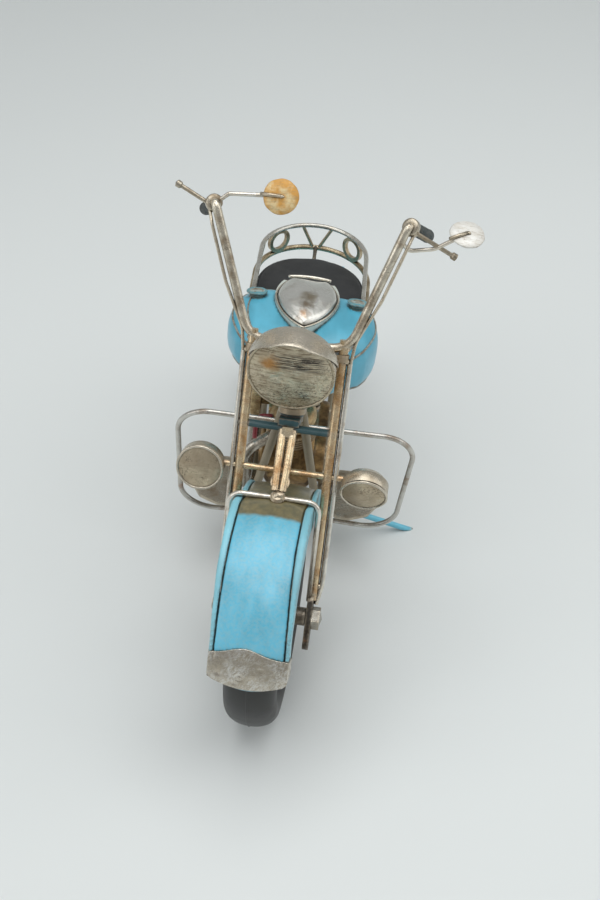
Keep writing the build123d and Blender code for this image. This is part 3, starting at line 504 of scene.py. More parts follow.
def paint(slot, colour, dark, chip=0.16, wash=0.5, gloss=0.4, seed=0.0):
    """Hand-brushed paint: wash and painted shade in the corners, chips and a pale rubbed line on the edges."""
    net, shader, _ = start_finish(slot, 0.0, 0.42, ())
    place = net.millimetres()
    tone = net.group("brush_marks", {"Place": place}, "Tone")
    marks = net.group("brush_marks", {"Place": place}, "Height")
    corner = net.group("corners", {"Place": place, "Reach": 0.0016}, "Corner")
    edge = net.group("corners", {"Place": place, "Reach": 0.0008}, "Edge")
    stains = net.group(
        "patches", {"Place": place, "Scale": 0.07, "Cover": wash, "Softness": 0.2, "Seed": seed}, "Mask"
    )
    chips = net.group(
        "patches", {"Place": place, "Scale": 0.7, "Cover": chip, "Softness": 0.02, "Seed": seed + 5}, "Mask"
    )
    light = [min(1, c * 1.14 + 0.02) for c in colour[:3]] + [1]
    deep = [c * 0.9 for c in colour[:3]] + [1]
    shown = net.mix(tone, deep, light)
    shown = net.mix(net.math("MULTIPLY", stains, 0.16), shown, dark)
    chipped = net.math("MULTIPLY", chips, net.band(edge, 0.05, 0.5), clamp=True)
    shown = net.mix(net.math("MULTIPLY", edge, 0.42), shown, CREAM)
    shown = net.mix(chipped, shown, linear((120, 108, 92)))
    # painted shade: the dark wash colour over the corners
    shown = net.mix(net.math("MULTIPLY", corner, 0.9), shown, dark)
    net.tree.links.new(shown, shader.inputs["Base Color"])
    rough = net.math("ADD", gloss, net.math("MULTIPLY", stains, 0.15))
    net.tree.links.new(rough, shader.inputs["Roughness"])
    shader.inputs["Coat Weight"].default_value = 0.25
    shader.inputs["Coat Roughness"].default_value = 0.22
    wavy = net.noise(place, 0.12, detail=2.0)
    bump(net, shader, [(wavy, 0.3, 0.3), (marks, 0.12, 0.05), (chips, 0.06, -0.04)])
    return net, shader, shown


STEELS = {  # slot: (metal, wash, cover, roughness, rust, pits)
    "rim_steel": ((150, 146, 138), (104, 88, 66), 0.4, 0.4, 0.08, 0.2),
    "spoke_steel": ((170, 166, 158), (110, 92, 70), 0.3, 0.38, 0.05, 0.0),
    "hub_steel": ((140, 134, 124), (96, 80, 60), 0.45, 0.4, 0.1, 0.15),
    "axle_steel": ((176, 172, 162), (110, 96, 76), 0.45, 0.36, 0.15, 0.2),
    "fork_bronze": ((236, 214, 176), (178, 126, 70), 0.46, 0.26, 0.26, 0.25),
    "rod_silver": ((232, 228, 218), (150, 122, 90), 0.32, 0.26, 0.12, 0.25),
    "plate_steel": ((104, 100, 94), (66, 54, 42), 0.5, 0.42, 0.15, 0.3),
    "yoke_bronze": ((170, 146, 112), (96, 72, 46), 0.6, 0.36, 0.2, 0.3),
    "hanger_silver": ((190, 180, 160), (130, 100, 66), 0.42, 0.32, 0.18, 0.3),
    "tip_silver": ((156, 154, 150), (90, 86, 80), 0.46, 0.3, 0.03, 0.2),
    "lamp_silver": ((188, 182, 168), (122, 104, 78), 0.42, 0.32, 0.12, 0.35),
    "lens_silver": ((198, 188, 164), (128, 108, 78), 0.46, 0.36, 0.12, 0.5),
    "visor_silver": ((196, 193, 184), (146, 140, 126), 0.24, 0.32, 0.02, 0.12),
    "bar_bronze": ((222, 214, 196), (128, 104, 76), 0.42, 0.28, 0.14, 0.5),
    "lever_silver": ((176, 168, 152), (112, 92, 66), 0.45, 0.34, 0.12, 0.2),
    "console_silver": ((222, 221, 214), (168, 160, 144), 0.26, 0.24, 0.03, 0.12),
    "hoop_silver": ((206, 204, 196), (120, 112, 98), 0.34, 0.3, 0.06, 0.1),
    "hoop_bronze": ((192, 176, 146), (104, 84, 58), 0.46, 0.34, 0.16, 0.2),
    "barrel_brown": ((182, 150, 100), (84, 60, 36), 0.5, 0.36, 0.2, 0.2),
    "cover_silver": ((190, 168, 128), (112, 84, 52), 0.46, 0.34, 0.16, 0.25),
    "engine_dark": ((166, 134, 88), (66, 48, 30), 0.52, 0.36, 0.2, 0.3),
    "pipe_silver": ((188, 182, 170), (120, 102, 78), 0.36, 0.3, 0.12, 0.15),
    "crash_silver": ((204, 202, 196), (132, 106, 80), 0.34, 0.28, 0.2, 0.15),
    "board_grey": ((178, 170, 154), (118, 98, 72), 0.4, 0.36, 0.12, 0.2),
    "tube_brass": ((188, 150, 76), (98, 74, 40), 0.45, 0.34, 0.05, 0.1),
}
PAINTS = {  # slot: (paint, dark wash, chips, wash, roughness)
    "yoke_teal": ((30, 74, 80), (22, 24, 20), 0.6, 0.8, 0.4),
    "flange_blue": ((130, 196, 212), (38, 60, 58), 0.6, 0.4, 0.36),
    "grip_dark": ((34, 48, 50), (14, 16, 16), 0.4, 0.5, 0.4),
    "frame_grey": ((146, 134, 108), (72, 54, 36), 0.5, 0.8, 0.42),
    "tank_blue": ((84, 172, 198), (28, 70, 74), 0.2, 0.35, 0.32),
    "rim_light": ((196, 206, 200), (46, 52, 46), 0.4, 0.4, 0.38),
    "cap_teal": ((30, 72, 74), (16, 32, 30), 0.4, 0.5, 0.36),
    "tail_red": ((138, 26, 24), (40, 10, 10), 0.3, 0.4, 0.3),
    "lead_red": ((128, 22, 34), (36, 8, 12), 0.3, 0.4, 0.34),
    "stand_blue": ((100, 184, 208), (34, 66, 70), 0.4, 0.4, 0.38),
}


def finish_fender():
    """Sky-blue fender skin: painted shade as dark lines along the folds down its sides, and an olive-brown band
    behind the wire.
    """
    group = settings()
    net, shader, shown = paint("fender_blue", (*group.sky_blue, 1), linear((40, 74, 70)), 0.1, 0.3, 0.32)
    plan = net.add("ShaderNodeAttribute", output="Vector", attribute_name="plan")
    across = net.add("ShaderNodeSeparateXYZ", {"Vector": plan}, None)
    place = net.millimetres()
    ragged = net.noise(place, 0.35, detail=5.0)
    side = net.math("ABSOLUTE", across.outputs["X"])
    # painted shade: a dark broken line in the fold where the strip meets each flange
    seam = net.band(net.math("ADD", side, net.math("MULTIPLY", ragged, 1.0)), 11.35, 12.0)
    broken = net.band(net.noise(place, 0.16, detail=4.0), 0.32, 0.5, 0.35, 1.0)
    shown = net.mix(net.math("MULTIPLY", seam, broken), shown, linear((24, 44, 46)))
    # olive-brown band over the fender's top, behind the wire
    degrees = net.math("ADD", across.outputs["Y"], net.math("MULTIPLY", ragged, 2.2))
    olive = net.band(degrees, 91.6, 94.2)
    band_colour = net.mix(net.noise(place, 0.5, detail=6.0), linear((58, 54, 34)), linear((150, 132, 84)))
    shown = net.mix(net.math("MULTIPLY", olive, 0.94), shown, band_colour)
    net.tree.links.new(shown, shader.inputs["Base Color"])


def reopened(slot):
    """A finish that already stands, to add to: its net, its shader and its present colour."""
    net = Net.__new__(Net)
    net.tree = FINISHES[slot].node_tree
    shader = next(n for n in net.tree.nodes if n.type == "BSDF_PRINCIPLED")
    return net, shader, shader.inputs["Base Color"].links[0].from_socket


def finish_lens():
    """The lamp face: streaks of brown, a gold stain, chatter marks above and wear low down."""
    net, shader, shown = reopened("lens_silver")
    plan = net.add("ShaderNodeAttribute", output="Vector", attribute_name="plan")
    axes = net.add("ShaderNodeSeparateXYZ", {"Vector": plan}, None)
    x, z = axes.outputs["X"], axes.outputs["Y"]
    place = net.millimetres()
    streaks = net.noise(net.stretch(plan, (0.14, 1.5, 1)), 1.0, detail=8.0, rough=0.74, warp=0.3)
    cloud = net.noise(plan, 0.14, detail=5.0, rough=0.6)
    shown = net.mix(net.band(streaks, 0.46, 0.62, 0.0, 0.72), shown, linear((96, 74, 46)))
    shown = net.mix(net.band(cloud, 0.5, 0.64, 0.0, 0.6), shown, linear((214, 202, 174)))
    shown = net.mix(stain_mask(net, plan, place, (-6.4, 4.0, 0), 5.6), shown, linear((170, 116, 48)))
    rows = net.noise(net.stretch(plan, (0.1, 2.2, 1)), 1.0, detail=5.0, rough=0.7)
    upper = net.band(net.math("ABSOLUTE", net.math("SUBTRACT", z, 5.4)), 1.4, 4.6, 1.0, 0.0)
    middle = net.band(net.math("ABSOLUTE", net.math("SUBTRACT", x, 2.6)), 5.5, 10.5, 1.0, 0.0)
    marks = net.math("MULTIPLY", net.band(rows, 0.45, 0.55), net.math("MULTIPLY", upper, middle))
    shown = net.mix(net.math("MULTIPLY", marks, 0.95), shown, linear((30, 24, 28)))
    dents = net.noise(net.stretch(plan, (1.1, 1.7, 1)), 1.0, detail=7.0, rough=0.74)
    lower = net.math("MULTIPLY", net.band(dents, 0.53, 0.6), net.band(z, 4.0, -8.0))
    shown = net.mix(net.math("MULTIPLY", lower, 0.8), shown, linear((48, 36, 24)))
    wear = stain_mask(net, plan, place, (4.6, -7.6, 0), 3.6)
    black = net.math("MULTIPLY", wear, net.band(dents, 0.44, 0.52))
    shown = net.mix(black, shown, linear((22, 20, 18)))
    net.tree.links.new(shown, shader.inputs["Base Color"])


def stain_mask(net, plan, place, centre, reach):
    """Soft round stain with a ragged edge, in the plan coordinates of a face."""
    away = net.add("ShaderNodeVectorMath", {0: plan, 1: centre}, "Value", operation="DISTANCE")
    ragged = net.math("ADD", away, net.math("MULTIPLY", net.noise(place, 0.4, detail=5.0), 4.5))
    return net.math("MULTIPLY", net.band(ragged, reach * 0.5, reach * 1.25, 1.0, 0.0), 0.85)


def finish_console():
    """Domed shield: brown stain down its middle to the tip."""
    net, shader, shown = reopened("console_silver")
    plan = net.add("ShaderNodeAttribute", output="Vector", attribute_name="plan")
    place = net.millimetres()
    for centre, reach, colour in (
        ((0.8, 89.0, 0), 5.6, (146, 132, 108)), ((0.2, 84.0, 0), 4.6, (132, 110, 78)),
        ((-0.4, 79.4, 0), 4.2, (150, 106, 56)),
    ):
        shown = net.mix(stain_mask(net, plan, place, centre, reach), shown, linear(colour))
    net.tree.links.new(shown, shader.inputs["Base Color"])


def finish_tip():
    """Fender tip: long bright scratches across darkened sheet."""
    net, shader, shown = reopened("tip_silver")
    place = net.millimetres()
    wide = net.group("scratches", {"Place": place, "Scale": 0.45, "Turn": (0.3, 0.9, 0.2)}, "Mask")
    area = net.group("patches", {"Place": place, "Scale": 0.12, "Cover": 0.55, "Softness": 0.1}, "Mask")
    shown = net.mix(net.math("MULTIPLY", wide, area), shown, linear((226, 224, 218)))
    net.tree.links.new(shown, shader.inputs["Base Color"])


def finish_rubber():
    """Smooth black rubber, a little dusty in its shoulders, with painted shade in its corners."""
    net, shader, _ = start_finish("tyre_black", 0.0, 0.5, ())
    place = net.millimetres()
    dusty = net.group("patches", {"Place": place, "Scale": 0.06, "Cover": 0.42, "Softness": 0.2}, "Mask")
    corner = net.group("corners", {"Place": place, "Reach": 0.003}, "Corner")
    colour = net.mix(net.math("MULTIPLY", dusty, 0.35), linear((38, 38, 37)), linear((74, 72, 68)))
    # painted shade: near black in the corners
    colour = net.mix(net.math("MULTIPLY", corner, 0.6), colour, linear((16, 16, 16)))
    net.tree.links.new(colour, shader.inputs["Base Color"])
    rough = net.math("ADD", 0.4, net.math("MULTIPLY", dusty, 0.2))
    net.tree.links.new(rough, shader.inputs["Roughness"])
    grain = net.noise(place, 3.2, detail=3.0)
    wavy = net.noise(place, 0.14, detail=2.0)
    bump(net, shader, [(wavy, 0.2, 0.2), (grain, 0.18, 0.03)])


def finish_seat():
    """Matt black leathercloth with a fine pebble grain, and painted shade in its corners."""
    net, shader, _ = start_finish("seat_black", 0.0, 0.55, ())
    place = net.millimetres()
    cells = net.add("ShaderNodeTexVoronoi", {"Vector": place, "Scale": 1.5}, "Distance")
    grain = net.noise(place, 2.2, detail=4.0)
    worn = net.group("patches", {"Place": place, "Scale": 0.07, "Cover": 0.4, "Softness": 0.2}, "Mask")
    corner = net.group("corners", {"Place": place, "Reach": 0.002}, "Corner")
    colour = net.mix(net.math("MULTIPLY", worn, 0.5), linear((36, 37, 38)), linear((62, 62, 62)))
    # painted shade: near black in the corners
    colour = net.mix(net.math("MULTIPLY", corner, 0.7), colour, linear((12, 12, 12)))
    net.tree.links.new(colour, shader.inputs["Base Color"])
    rough = net.math("ADD", 0.48, net.math("MULTIPLY", grain, 0.16))
    net.tree.links.new(rough, shader.inputs["Roughness"])
    bump(net, shader, [(cells, 0.35, 0.07), (grain, 0.25, 0.05)])


def finish_mirror(slot, face, bloom_colour, bloomed, seed):
    """Pale disc with rust blooming through it, and brown painted shade in its corners."""
    net, shader, _ = start_finish(slot, 0.15, 0.4, ())
    place = net.millimetres()
    bloom = net.group(
        "patches", {"Place": place, "Scale": 0.26, "Cover": 0.6, "Softness": 0.14, "Seed": seed}, "Mask"
    )
    dots = net.group(
        "patches", {"Place": place, "Scale": 1.1, "Cover": 0.25, "Softness": 0.06, "Seed": 9.0}, "Mask"
    )
    corner = net.group("corners", {"Place": place}, "Corner")
    brushed = net.noise(net.stretch(place, (0.2, 1.4, 1.4), (0.3, 0.2, 0.9)), 1.0, detail=6.0, rough=0.7)
    colour = net.mix(net.math("MULTIPLY", bloom, bloomed), linear(face), linear(bloom_colour))
    colour = net.mix(net.band(brushed, 0.5, 0.62, 0.0, 0.35), colour, linear((150, 136, 108)))
    colour = net.mix(net.math("MULTIPLY", dots, 0.5), colour, linear((128, 88, 44)))
    # painted shade: brown in the corners
    colour = net.mix(net.math("MULTIPLY", corner, 0.7), colour, linear((84, 58, 34)))
    net.tree.links.new(colour, shader.inputs["Base Color"])
    rough = net.math("ADD", 0.32, net.math("MULTIPLY", bloom, 0.25))
    net.tree.links.new(rough, shader.inputs["Roughness"])
    wavy = net.noise(place, 0.3, detail=3.0)
    bump(net, shader, [(wavy, 0.3, 0.2), (bloom, 0.2, 0.04)])


def build_finishes():
    """Every shared effect, then every finish, assigned to the carried-over parts."""
    for build in (build_patches, build_corners, build_scratches, build_pits, build_brush_marks):
        build()
    for number, (slot, values) in enumerate(STEELS.items()):
        base, wash, cover, roughness, rust, pits = values
        steel(slot, linear(base), linear(wash), cover, roughness, rust, pits, number * 3.7)
    for number, (slot, values) in enumerate(PAINTS.items()):
        colour, dark, chip, wash, gloss = values
        paint(slot, linear(colour), linear(dark), chip, wash, gloss, number * 5.3)
    finish_fender()
    finish_lens()
    finish_console()
    finish_tip()
    finish_rubber()
    finish_seat()
    finish_mirror("mirror_cream", (232, 212, 164), (206, 148, 58), 0.9, 4.0)
    # painted highlight: the left disc gets this paler copy of the mirror finish for the light it catches from above
    finish_mirror("mirror_lit_white", (234, 233, 228), (206, 200, 186), 0.5, 14.0)
    slot_of = {s["node"]: s["material_slot"] for s in frame["record"]["subparts"]}
    for name, part in frame["nodes"].items():
        finish = FINISHES[slot_of[name]]
        if not part.material_slots:
            part.data.materials.append(finish)
        for material_slot in part.material_slots:
            material_slot.material = finish


def give_plan(piece, where, rule):
    """Stores each point's flat coordinates, for marks that follow a piece's own shape."""
    back = where.inverted()
    layer = piece.data.attributes.new("plan", "FLOAT_VECTOR", "POINT")
    for vert in piece.data.vertices:
        layer.data[vert.index].vector = rule(back @ vert.co)


# --- settings -------------------------------------------------------------------------
class MotorcycleSettings(bpy.types.PropertyGroup):
    """Sizes and colours of the hand-made detail."""

    sky_blue: FloatVectorProperty(
        name="Sky Blue", description="Paint of the fender", subtype="COLOR",
        default=linear((92, 184, 212))[:3], min=0, max=1,
    )
    seat_crown: FloatProperty(
        name="Seat Crown", description="How far the seat swells, in millimetres", default=2.6,
        min=0, max=5,
    )
    mould_line: FloatProperty(
        name="Mould Line", description="Height of the line round a tyre, in millimetres",
        default=0.22, min=0, max=0.6,
    )
    solder_size: FloatProperty(
        name="Solder Size", description="Size of a usual drop of solder, in millimetres",
        default=1.5, min=0.5, max=3,
    )
    floor_tone: FloatVectorProperty(
        name="Floor", description="Colour of the floor", subtype="COLOR",
        default=linear((226, 230, 229))[:3], min=0, max=1,
    )
    light_power: FloatProperty(
        name="Light", description="Power of the main soft light", default=5.4, min=0, max=50,
        subtype="POWER", unit="POWER",
    )
    fender_steps: IntProperty(
        name="Fender Steps", description="Rows along the front fender", default=150, min=40, max=300,
    )


# --- tyres ----------------------------------------------------------------------------
def tyre_outline():
    """Half round section with small shoulders and a raised line round the middle."""
    line = settings().mould_line
    crown = TYRE_R - line
    outline = [(-5.6, 27.6), (-5.8, 28.8), (-7.0, 29.4), (-8.3, 30.6), (-9.0, 32.4), (-8.9, 34.0)]
    for n in range(1, 12):
        a = math.radians(82 - n * 7.2)
        outline.append((-9.05 * math.sin(a) ** 0.92, 33.4 + (crown - 33.4) * math.cos(a) ** 0.9))
    outline += [(-0.32, crown), (-0.2, TYRE_R - line * 0.2), (0, TYRE_R)]
    mirror = [(-x, r) for x, r in reversed(outline[:-1])]
    return outline + mirror + [outline[0]]


class MOTORCYCLE_OT_tyres(bpy.types.Operator):
    """Rubber tyres with a mould line"""

    bl_idname = "motorcycle.tyres"
    bl_label = "Tyres"

    def execute(self, context):
        for end, where, axle_y in (("front", FORK, 0.0), ("rear", BIKE, WHEELBASE)):
            shape = lathe((0, axle_y, TYRE_R), (1, 0, 0), tyre_outline(), 160)
            make_piece(
                f"{end}_tyre_rubber", where, shape, FINISHES["tyre_black"], f"{end}_wheel",
                [f"{end}_tyre"],
            )
        return {"FINISHED"}


# --- front fender ---------------------------------------------------------------------
STRIP_HALF = 11.7
FENDER_OUT = 45.4
CROWN = 1.1


def ease(low, high, value):
    t = min(1.0, max(0.0, (value - low) / (high - low)))
    return t * t * (3 - 2 * t)


def fender_skew(degrees):
    """The sheet stands a little askew over the top of the wheel."""
    return -1.1 * ease(20, 80, degrees) * (1 - ease(99, 110, degrees))


def strip_half(degrees):
    return 11.75 - 0.75 * ease(20, 90, degrees)


def flange_half(degrees, side):
    """Outer edge of a flange; it wanders a little along its length."""
    wide = 12.75 + 0.75 * ease(25, 85, degrees) * (1 - ease(99, 110, degrees))
    return wide + noise.noise(Vector((side * 9.0, degrees * 0.06, 0.0))) * 0.35


def fender_radius(share, degrees):
    """Outer radius of the crowned strip, slightly uneven as hand-bent sheet is."""
    dent = noise.noise(Vector((share * 1.3, degrees * 0.045, 3.0))) * 0.24
    return FENDER_OUT - CROWN * share ** 2 + dent - 0.12


def strip_shape(first, last):
    steps = settings().fender_steps
    rows = []
    for n in range(steps + 1):
        degrees = first + (last - first) * n / steps
        row = []
        for k in range(33):
            share = (k / 16 - 1) * 0.985
            x = strip_half(degrees) * share + fender_skew(degrees)
            sunk = 0.35 * max(0.0, (abs(share) - 0.93) / 0.05) ** 1.5
            bowed = degrees + 3.5 * share ** 2 * max(0.0, 1 - n / 12)
            row.append(wheel_point(x, fender_radius(share, degrees) - sunk, bowed))
        rows.append(row)
    return grid(rows)


def strip_plan(point):
    """Share of the strip's half width, in its widest millimetres, and degrees round the axle."""
    degrees = math.degrees(math.atan2(point.z - TYRE_R, -point.y))
    return ((point.x - fender_skew(degrees)) / strip_half(degrees) * STRIP_HALF, degrees, 0)


def flange_shape(side, first, last, depths):
    """One side of the fender: a folded lip along the top and a plate down beside the tyre."""
    rows = []
    for n in range(121):
        t = n / 120
        degrees = first + (last - first) * t
        skew = fender_skew(degrees)
        inner = strip_half(degrees) * side + skew
        outer = flange_half(degrees, side) * side + skew
        depth = depths[0] * (1 - t) ** 2 + depths[1] * 2 * t * (1 - t) + depths[2] * t * t
        top = fender_radius(1, degrees) + 0.42 + noise.noise(Vector((degrees * 0.1, side, 7))) * 0.18
        rows.append([
            wheel_point(inner, top - 1.4, degrees),
            wheel_point(inner, top - 0.3, degrees),
            wheel_point(inner + 0.35 * side, top, degrees),
            wheel_point(outer - 0.4 * side, top + 0.05, degrees),
            wheel_point(outer, top - 0.3, degrees),
            wheel_point(outer - 0.1 * side, (top + depth) / 2, degrees),
            wheel_point(outer - 0.1 * side, depth, degrees),
            wheel_point(outer - 0.9 * side, depth, degrees),
            wheel_point(outer - 0.9 * side, top - 1.8, degrees),
        ])
    return capped(grid(rows, wrap=True), 9, len(rows))


DIMPLES = ((-9.4, 21.0, 0.42, 0.9), (-3.6, 17.6, 0.2, 0.7), (4.2, 25.0, 0.18, 0.8))


def tip_rise(x, degrees):
    """How far dents and a small ring mark lower the tip's sheet."""
    low = 0.0
    for at_x, at_degrees, deep, wide in DIMPLES:
        away = math.hypot(x - at_x, (degrees - at_degrees) * 0.8)
        low += deep * math.exp(-((away / wide) ** 2))
    away = math.hypot(x + 2.3, (degrees - 20.4) * 0.8)
    return low + 0.16 * math.exp(-(((away - 0.95) / 0.3) ** 2))


def tip_shape():
    """Sheet cap over the fender's front: peaked behind, bowed in front, wrapped at the sides."""
    edge = [0.94, 0.965, 0.98, 0.99, 1]
    shares = [-e for e in reversed(edge)] + [k / 38 for k in range(-35, 36)] + edge
    rows = []
    for n in range(61):
        t = n / 60
        row = []
        for share in shares:
            x = share * 13.35
            peak = 2.7 * math.exp(-(((x + 1.6) / 6.4) ** 2)) + 0.9 * (1 - abs(share) ** 1.4)
            back = 29.6 + peak
            front = 19.0 - 3.8 * (1 - share * share) + 1.6 * max(0.0, abs(share) - 0.88) / 0.12
            degrees = front + (back - front) * t
            rise = 45.62 - CROWN * share ** 2 * 0.8
            rise -= 5.6 * max(0.0, (abs(share) - 0.965) / 0.035) ** 1.6
            rise -= tip_rise(x, degrees)
            groove = math.exp(-(((abs(x) - 11.2) / 0.4) ** 2)) * max(0.0, t - 0.62) / 0.38
            rise += 0.09 * noise.noise(Vector((x * 0.3, degrees * 0.3, 1.0))) - 0.5 * groove
            row.append(wheel_point(x, rise, degrees))
        rows.append(row)
    return grid(rows)


def thicken(piece, thickness, offset=-1.0):
    """Gives a sheet its thickness, inwards."""
    modifier = piece.modifiers.new("sheet", "SOLIDIFY")
    modifier.thickness = thickness * MM
    modifier.offset = offset
    modifier.use_even_offset = True


class MOTORCYCLE_OT_front_fender(bpy.types.Operator):
    """Crowned front fender, its folded sides and its bare metal tip"""

    bl_idname = "motorcycle.front_fender"
    bl_label = "Front Fender"

    def execute(self, context):
        skin = make_piece(
            "fender_skin", FORK, strip_shape(14.7, 150.0), FINISHES["fender_blue"], "steering",
            ["front_fender_top"],
        )
        give_plan(skin, FORK, strip_plan)
        thicken(skin, 0.7)
        for side, name in ((1, "left"), (-1, "right")):
            shape = flange_shape(side, 18.6, 151.0, (38.0, 33.4, 37.0))
            make_piece(
                f"fender_flange_{name}", FORK, shape, FINISHES["flange_blue"], "steering",
                ["front_fender_sides"], sharp=50,
            )
        tip = make_piece(
            "fender_tip", FORK, tip_shape(), FINISHES["tip_silver"], "steering",
            ["front_fender_tip"],
        )
        thicken(tip, 0.55)
        route = [(-15.0, 2.0, 46.5), (-16.2, 11.4, 84.3), (14.2, 11.6, 84.3), (14.0, 2.0, 46.5)]
        make_piece(
            "fender_wire", FORK, sweep(rounded(route, 5.0, 10), 0.95), FINISHES["rod_silver"],
            "steering", ["front_fender_rail"],
        )
        return {"FINISHED"}


# --- lamps ----------------------------------------------------------------------------
LAMP_CENTRE = Vector((0, 27.7, 124.2))
LAMP_R = 14.3
FOG_R = 8.0
FOG_LAMPS = (("right", (-28.2, 19.5, 85.4), 18.0), ("left", (28.0, 19.5, 83.4), -13.0))


def lens_shape(centre, axis, radius, bulge, seed):
    """Pressed face, bulging forward and dented."""
    axis = Vector(axis).normalized()
    across = Vector((1, 0, 0))
    up = axis.cross(across)
    if up.z < 0:
        up = -up
    rings, turns = 40, 96
    rows = []
    for n in range(rings + 1):
        share = n / rings
        row = []
        for k in range(turns):
            a = 2 * math.pi * k / turns
            x, z = share * radius * math.cos(a), share * radius * math.sin(a)
            dent = noise.noise(Vector((x * 0.16 + seed, z * 0.16, 0))) * 0.36
            dent += noise.noise(Vector((x * 0.5 + seed, z * 1.6, 4))) * 0.09
            out = bulge * (1 - share ** 2.4) + dent * (1 - share ** 6)
            row.append(Vector(centre) - axis * out + across * x + up * z)
        rows.append(row)
    return grid(rows, wrap=True)


def rim_ring(centre, axis, radius, thick):
    outline = []
    for n in range(13):
        a = 2 * math.pi * n / 12
        outline.append((thick * 0.9 * math.sin(a), radius + thick * math.cos(a)))
    outline[-1] = outline[0]
    return lathe(centre, axis, outline, 96, wobble=0.12)


class MOTORCYCLE_OT_lamps(bpy.types.Operator):
    """Dented lamp faces and rolled rims"""

    bl_idname = "motorcycle.lamps"
    bl_label = "Lamps"

    def execute(self, context):
        metal = FINISHES["lens_silver"]
        centre = LAMP_CENTRE
        shape = lens_shape(centre, (0, 1, 0), LAMP_R - 0.5, 1.3, 0.0)
        face = make_piece("headlight_face", FORK, shape, metal, "steering", ["headlight_lens"])
        give_plan(face, FORK, lambda p: (p.x - centre.x, p.z - centre.z, 0))
        thicken(face, 0.5)
        rim = rim_ring(centre, (0, 1, 0), LAMP_R - 0.35, 0.42)
        make_piece("headlight_rim", FORK, rim, FINISHES["fog_face"], "steering")
        for side, at, tilt in FOG_LAMPS:
            a = math.radians(tilt)
            back = (0, math.cos(a), -math.sin(a))
            shape = lens_shape(at, back, FOG_R - 0.5, 1.0, 5.0 + tilt)
            face = make_piece(
                f"fog_face_{side}", FORK, shape, FINISHES["fog_face"], "steering",
                ["fog_lenses"],
            )
            thicken(face, 0.5)
            rim = rim_ring(at, back, FOG_R - 0.3, 0.5)
            make_piece(f"fog_rim_{side}", FORK, rim, FINISHES["visor_silver"], "steering")
        for node in ("headlight_shell", "headlight_visor", "fog_lamps"):
            soften(node, 0.15)
        return {"FINISHED"}


# --- tank and console -----------------------------------------------------------------
TANK_SECTIONS = (  # y, width, height, top
    (64.0, 13.0, 11.5, 100.5), (73.0, 23.5, 20.5, 106.0), (86.0, 27.6, 25.0, 107.0),
    (99.0, 24.0, 21.5, 105.5), (109.0, 14.0, 13.0, 100.0),
)
TANK_UNEVEN = 2.5
TANK_GAP = 0.5


def tank_section(y):
    """Width, height and top of a tank half at a distance along it, smoothly between sections."""
    for n, (before, after) in enumerate(zip(TANK_SECTIONS, TANK_SECTIONS[1:])):
        if y <= after[0] or n == len(TANK_SECTIONS) - 2:
            a = TANK_SECTIONS[max(n - 1, 0)]
            d = TANK_SECTIONS[min(n + 2, len(TANK_SECTIONS) - 1)]
            t = min(1.0, max(0.0, (y - before[0]) / (after[0] - before[0])))
            values = []
            for k in (1, 2, 3):
                p0, p1, p2, p3 = a[k], before[k], after[k], d[k]
                values.append(0.5 * (
                    2 * p1 + (p2 - p0) * t + (2 * p0 - 5 * p1 + 4 * p2 - p3) * t * t
                    + (3 * p1 - p0 - 3 * p2 + p3) * t ** 3
                ))
            return values


def tank_point(side, y, angle, shrink=1.0):
    """A point on a tank half's skin; the angle goes round its section."""
    width, height, top = tank_section(y)
    height += side * TANK_UNEVEN
    power = 0.66
    c, s = math.cos(angle), math.sin(angle)
    x = TANK_GAP + width / 2 * (1 + shrink * math.copysign(abs(c) ** power, c))
    z = top - height / 2 + height / 2 * shrink * math.copysign(abs(s) ** power, s)
    wave = noise.noise(Vector((x * side * 0.09, y * 0.09, z * 0.09))) * 0.3
    return Vector((side * (x - 0.1 + wave * 0.5), y, z + wave))


def tank_shape(side):
    first, last = TANK_SECTIONS[0][0], TANK_SECTIONS[-1][0]
    turns = 96
    rows = []
    for shrink in (0.05, 0.45, 0.8, 0.95):
        rows.append([tank_point(side, first, 2 * math.pi * k / turns, shrink) for k in range(turns)])
    for n in range(61):
        y = first + (last - first) * n / 60
        rows.append([tank_point(side, y, 2 * math.pi * k / turns) for k in range(turns)])
    for shrink in (0.95, 0.8, 0.45, 0.05):
        rows.append([tank_point(side, last, 2 * math.pi * k / turns, shrink) for k in range(turns)])
    return capped(grid(rows, wrap=True), turns, len(rows))


def tank_welt(side, angle, first, last, radius):
    """Folded seam that runs along a tank half at one angle of its section."""
    count = 48
    route = []
    for n in range(count):
        y = first + (last - first) * n / (count - 1)
        route.append(tank_point(side, y, angle))
    return sweep(route, radius, 10)


def tank_side_seam(side):
    """Folded seam round the outer panel of a tank half."""
    over, under, count = math.radians(34), math.radians(-40), 40
    places = [(66.5 + 40.5 * n / count, over) for n in range(count + 1)]
    places += [(107.0, over + (under - over) * n / 6) for n in range(1, 6)]
    places += [(107.0 - 40.5 * n / count, under) for n in range(count + 1)]
    places += [(66.5, under + (over - under) * n / 6) for n in range(1, 6)]
    route = [tank_point(side, y, angle) for y, angle in places]
    return sweep(route + route[:2], 0.42, 10)


SHIELD_FRONT, SHIELD_REAR, SHIELD_WIDE, SHIELD_CORNER = 75.5, 102.3, 10.9, 7.4
CONSOLE_Z = 108.2


def shield_outline(grow=0.0):
    """The console's outline, tip to the front, as (x, y) points."""
    front, wide, rear = SHIELD_FRONT - grow, SHIELD_WIDE + grow, SHIELD_REAR + grow
    corner = SHIELD_CORNER + grow
    half = arc_through((0, front), (7.0 + grow * 0.8, 82.0), (wide, 93.0), 17)
    half += arc_through((wide, 93.0), (10.0 + grow, 98.0), (corner, rear), 9)[1:]
    across = [(corner * (1 - n / 5), rear) for n in range(1, 10)]
    return half + across + [(-x, y) for x, y in reversed(half)][:-1]


